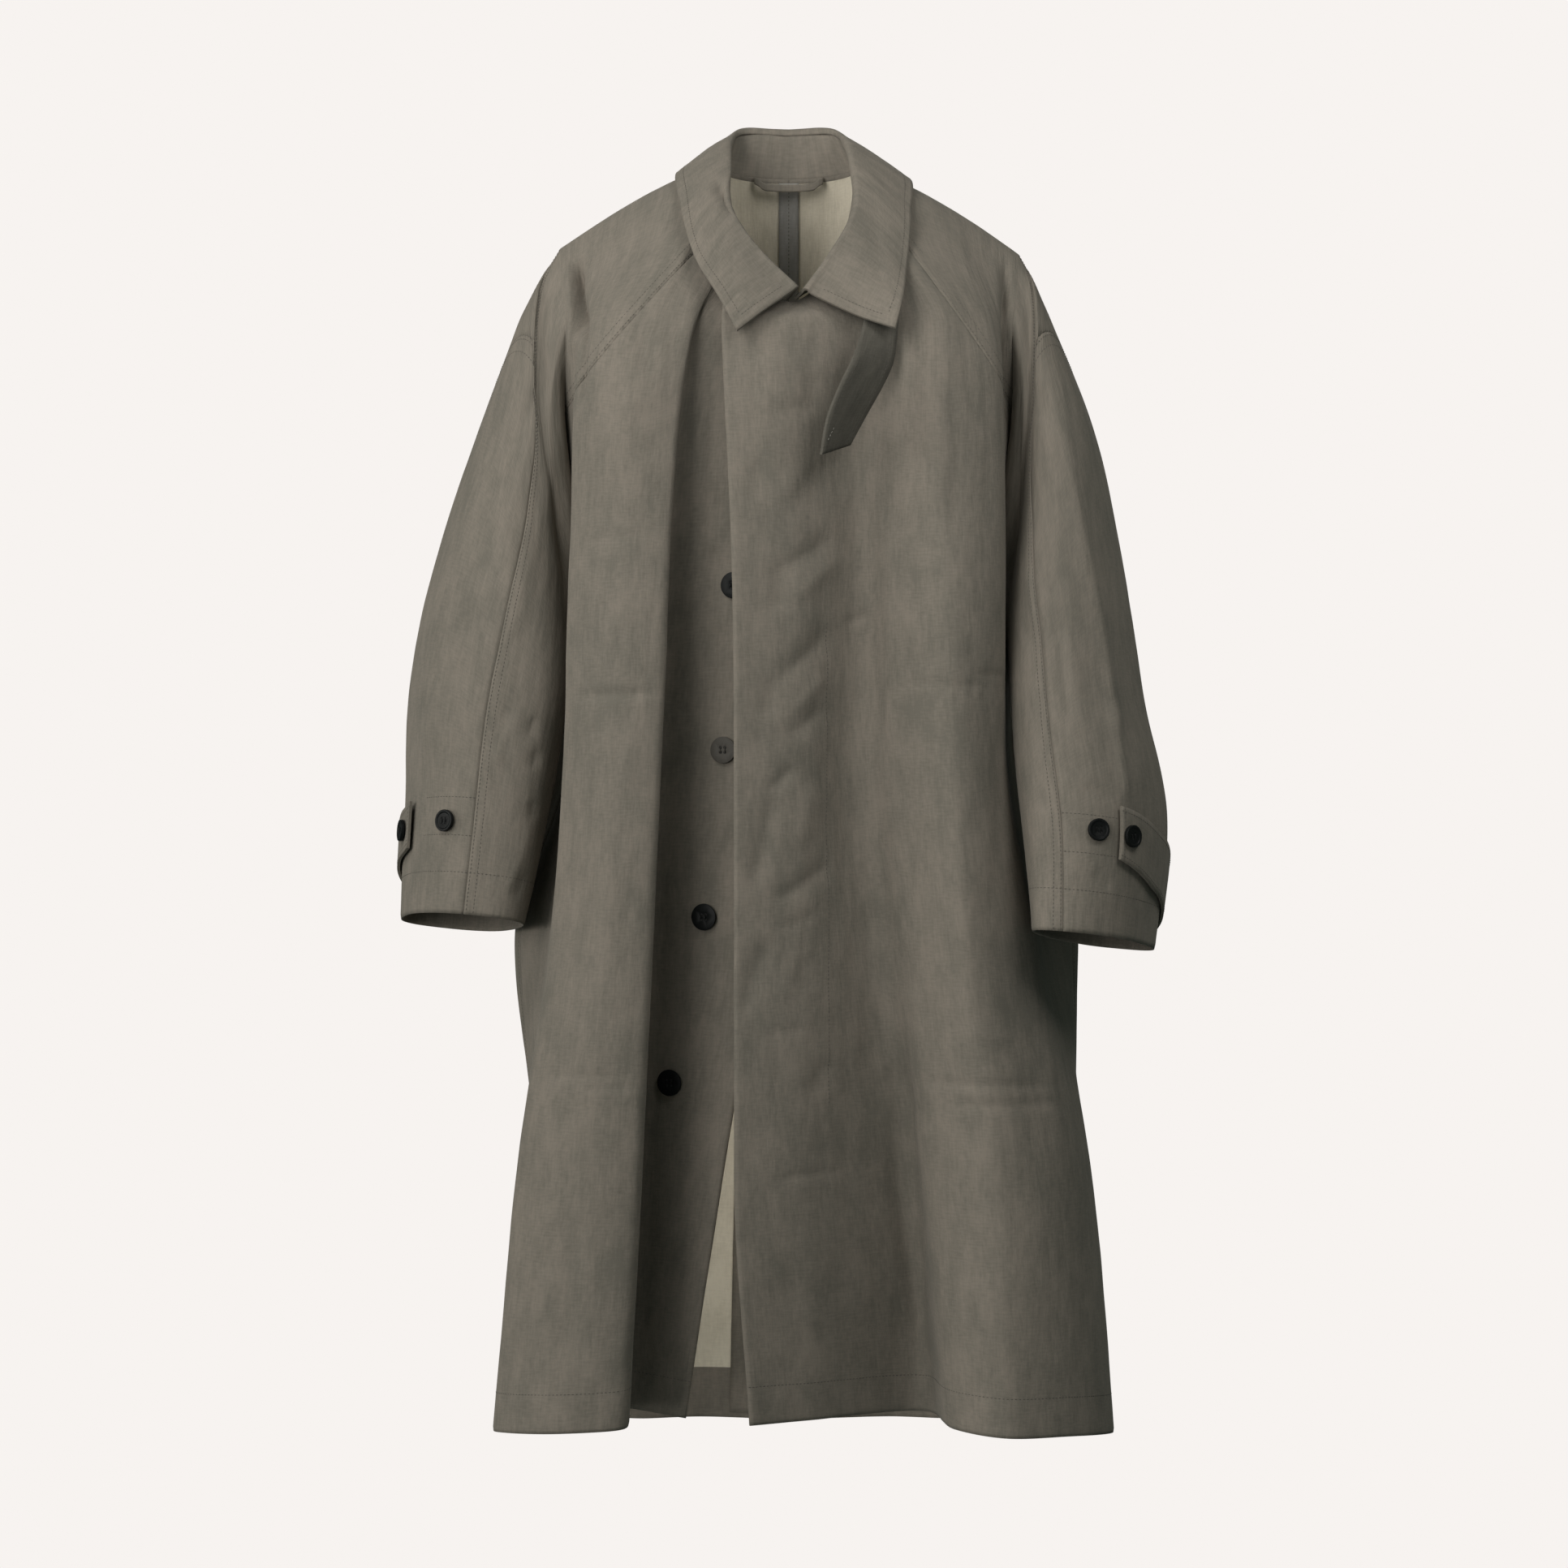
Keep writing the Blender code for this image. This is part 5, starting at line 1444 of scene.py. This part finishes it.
def model_button(name, size):
    """Turned button with four holes and its thread, face up at the origin."""
    bpy.ops.object.select_all(action="DESELECT")
    thick = size["thick"] * MM
    hole = size["hole"] * MM
    apart = size["apart"] * MM
    body = add_post(40, size["radius"] * MM, thick, (0, 0, thick / 2))
    body.name = name
    bpy.ops.object.transform_apply(location=True)
    for face in body.data.polygons:
        face.select = face.normal.z > 0.9
    bpy.ops.object.mode_set(mode="EDIT")
    bpy.ops.mesh.select_mode(type="FACE")
    bpy.ops.mesh.inset(thickness=size["rim"] * MM, depth=0.0)
    bpy.ops.mesh.inset(thickness=DISH_SLOPE * MM, depth=-size["dish"] * MM)
    bpy.ops.object.mode_set(mode="OBJECT")
    cutters = [add_post(14, hole, 3 * thick, (x * apart, y * apart, thick / 2)) for x, y in HOLES]
    for cutter in cutters:
        cutter.select_set(True)
    bpy.ops.object.join()
    drill = bpy.context.object
    apply_modifier(body, "BOOLEAN", object=drill, operation="DIFFERENCE", solver="EXACT")
    bpy.data.objects.remove(drill, do_unlink=True)
    limits = {"limit_method": "ANGLE", "angle_limit": math.radians(BEVEL["angle"])}
    apply_modifier(body, "BEVEL", width=BEVEL["width"] * MM, segments=2, **limits)
    bpy.ops.object.shade_smooth()
    body.data.materials.append(dark_button)
    parts = [body]
    for x, y in HOLES:
        place = (x * apart, y * apart, PLUG["height"] * thick)
        parts.append(add_post(10, hole, PLUG["depth"] * thick, place))
        parts[-1].data.materials.append(button_thread)
    for x in (-1, 1):
        place = (x * apart, 0.0, thick - BAR["sunk"] * size["dish"] * MM)
        parts.append(add_post(8, BAR["radius"] * MM, BAR["length"] * apart, place, (math.pi / 2, 0, 0)))
        parts[-1].data.materials.append(dark_button)
    select_only(body)
    for part in parts:
        part.select_set(True)
    bpy.ops.object.join()
    return bpy.context.object


def button_frame(node):
    """Where a packed button stands: its foot and a turn that lays its axis along Z."""
    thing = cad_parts[node]
    points = np.array([thing.matrix_world @ vertex.co for vertex in thing.data.vertices])
    middle = points.mean(axis=0)
    axis = np.linalg.eigh(np.cov((points - middle).T))[1][:, 0]
    along = (points - middle) @ axis
    if along.max() > -along.min():
        axis = -axis
        along = -along
    centre = (points.min(axis=0) + points.max(axis=0)) / 2
    foot = centre + axis * (along.min() - (centre - middle) @ axis)
    return foot, axis


dark_button = plain_material("dark_button", (0.007, 0.008, 0.008), 0.42, HORN_SPECULAR)
# painted reflection: a grey copy of the dark horn, standing for a lamp's reflection on one button
painted_highlight_button = plain_material("painted_highlight_button", (0.074, 0.069, 0.060), 0.45, HORN_SPECULAR)
button_thread = plain_material("button_thread", (0.02, 0.02, 0.02), THREAD_ROUGHNESS)
masters = {kind: model_button(f"{kind}_button_master", size) for kind, size in BUTTON_SIZES.items()}
buttons = {}
for node in sorted(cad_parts):
    if "button" not in node:
        continue
    master = masters["front" if node.startswith("front") else "cuff"]
    foot, axis = button_frame(node)
    copy = add_mesh(node + "_turned", master.data.copy())
    turn = Vector(axis).to_track_quat("Z", "Y").to_matrix().to_4x4()
    copy.data.transform(Matrix.Translation(foot) @ turn)
    # painted reflection: this one button takes the grey paint instead of the dark horn
    if node == REFLECTING_BUTTON_NODE:
        copy.data.materials[0] = painted_highlight_button
    buttons[node] = copy
for master in masters.values():
    bpy.data.objects.remove(master, do_unlink=True)
print("buttons:", len(buttons), "faces each", {len(button.data.polygons) for button in buttons.values()})

# %% [markdown]
# Attach the pieces
#
# Every piece rides on the one body of the coat, and stands for the solid of the same name, which
# is hidden. The stitching rides on the body too.


for name, piece in pieces.items():
    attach(piece, "root")
    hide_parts(name)
for name, piece in buttons.items():
    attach(piece, "root")
    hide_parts(name)
for piece in stitching.values():
    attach(piece, "root")
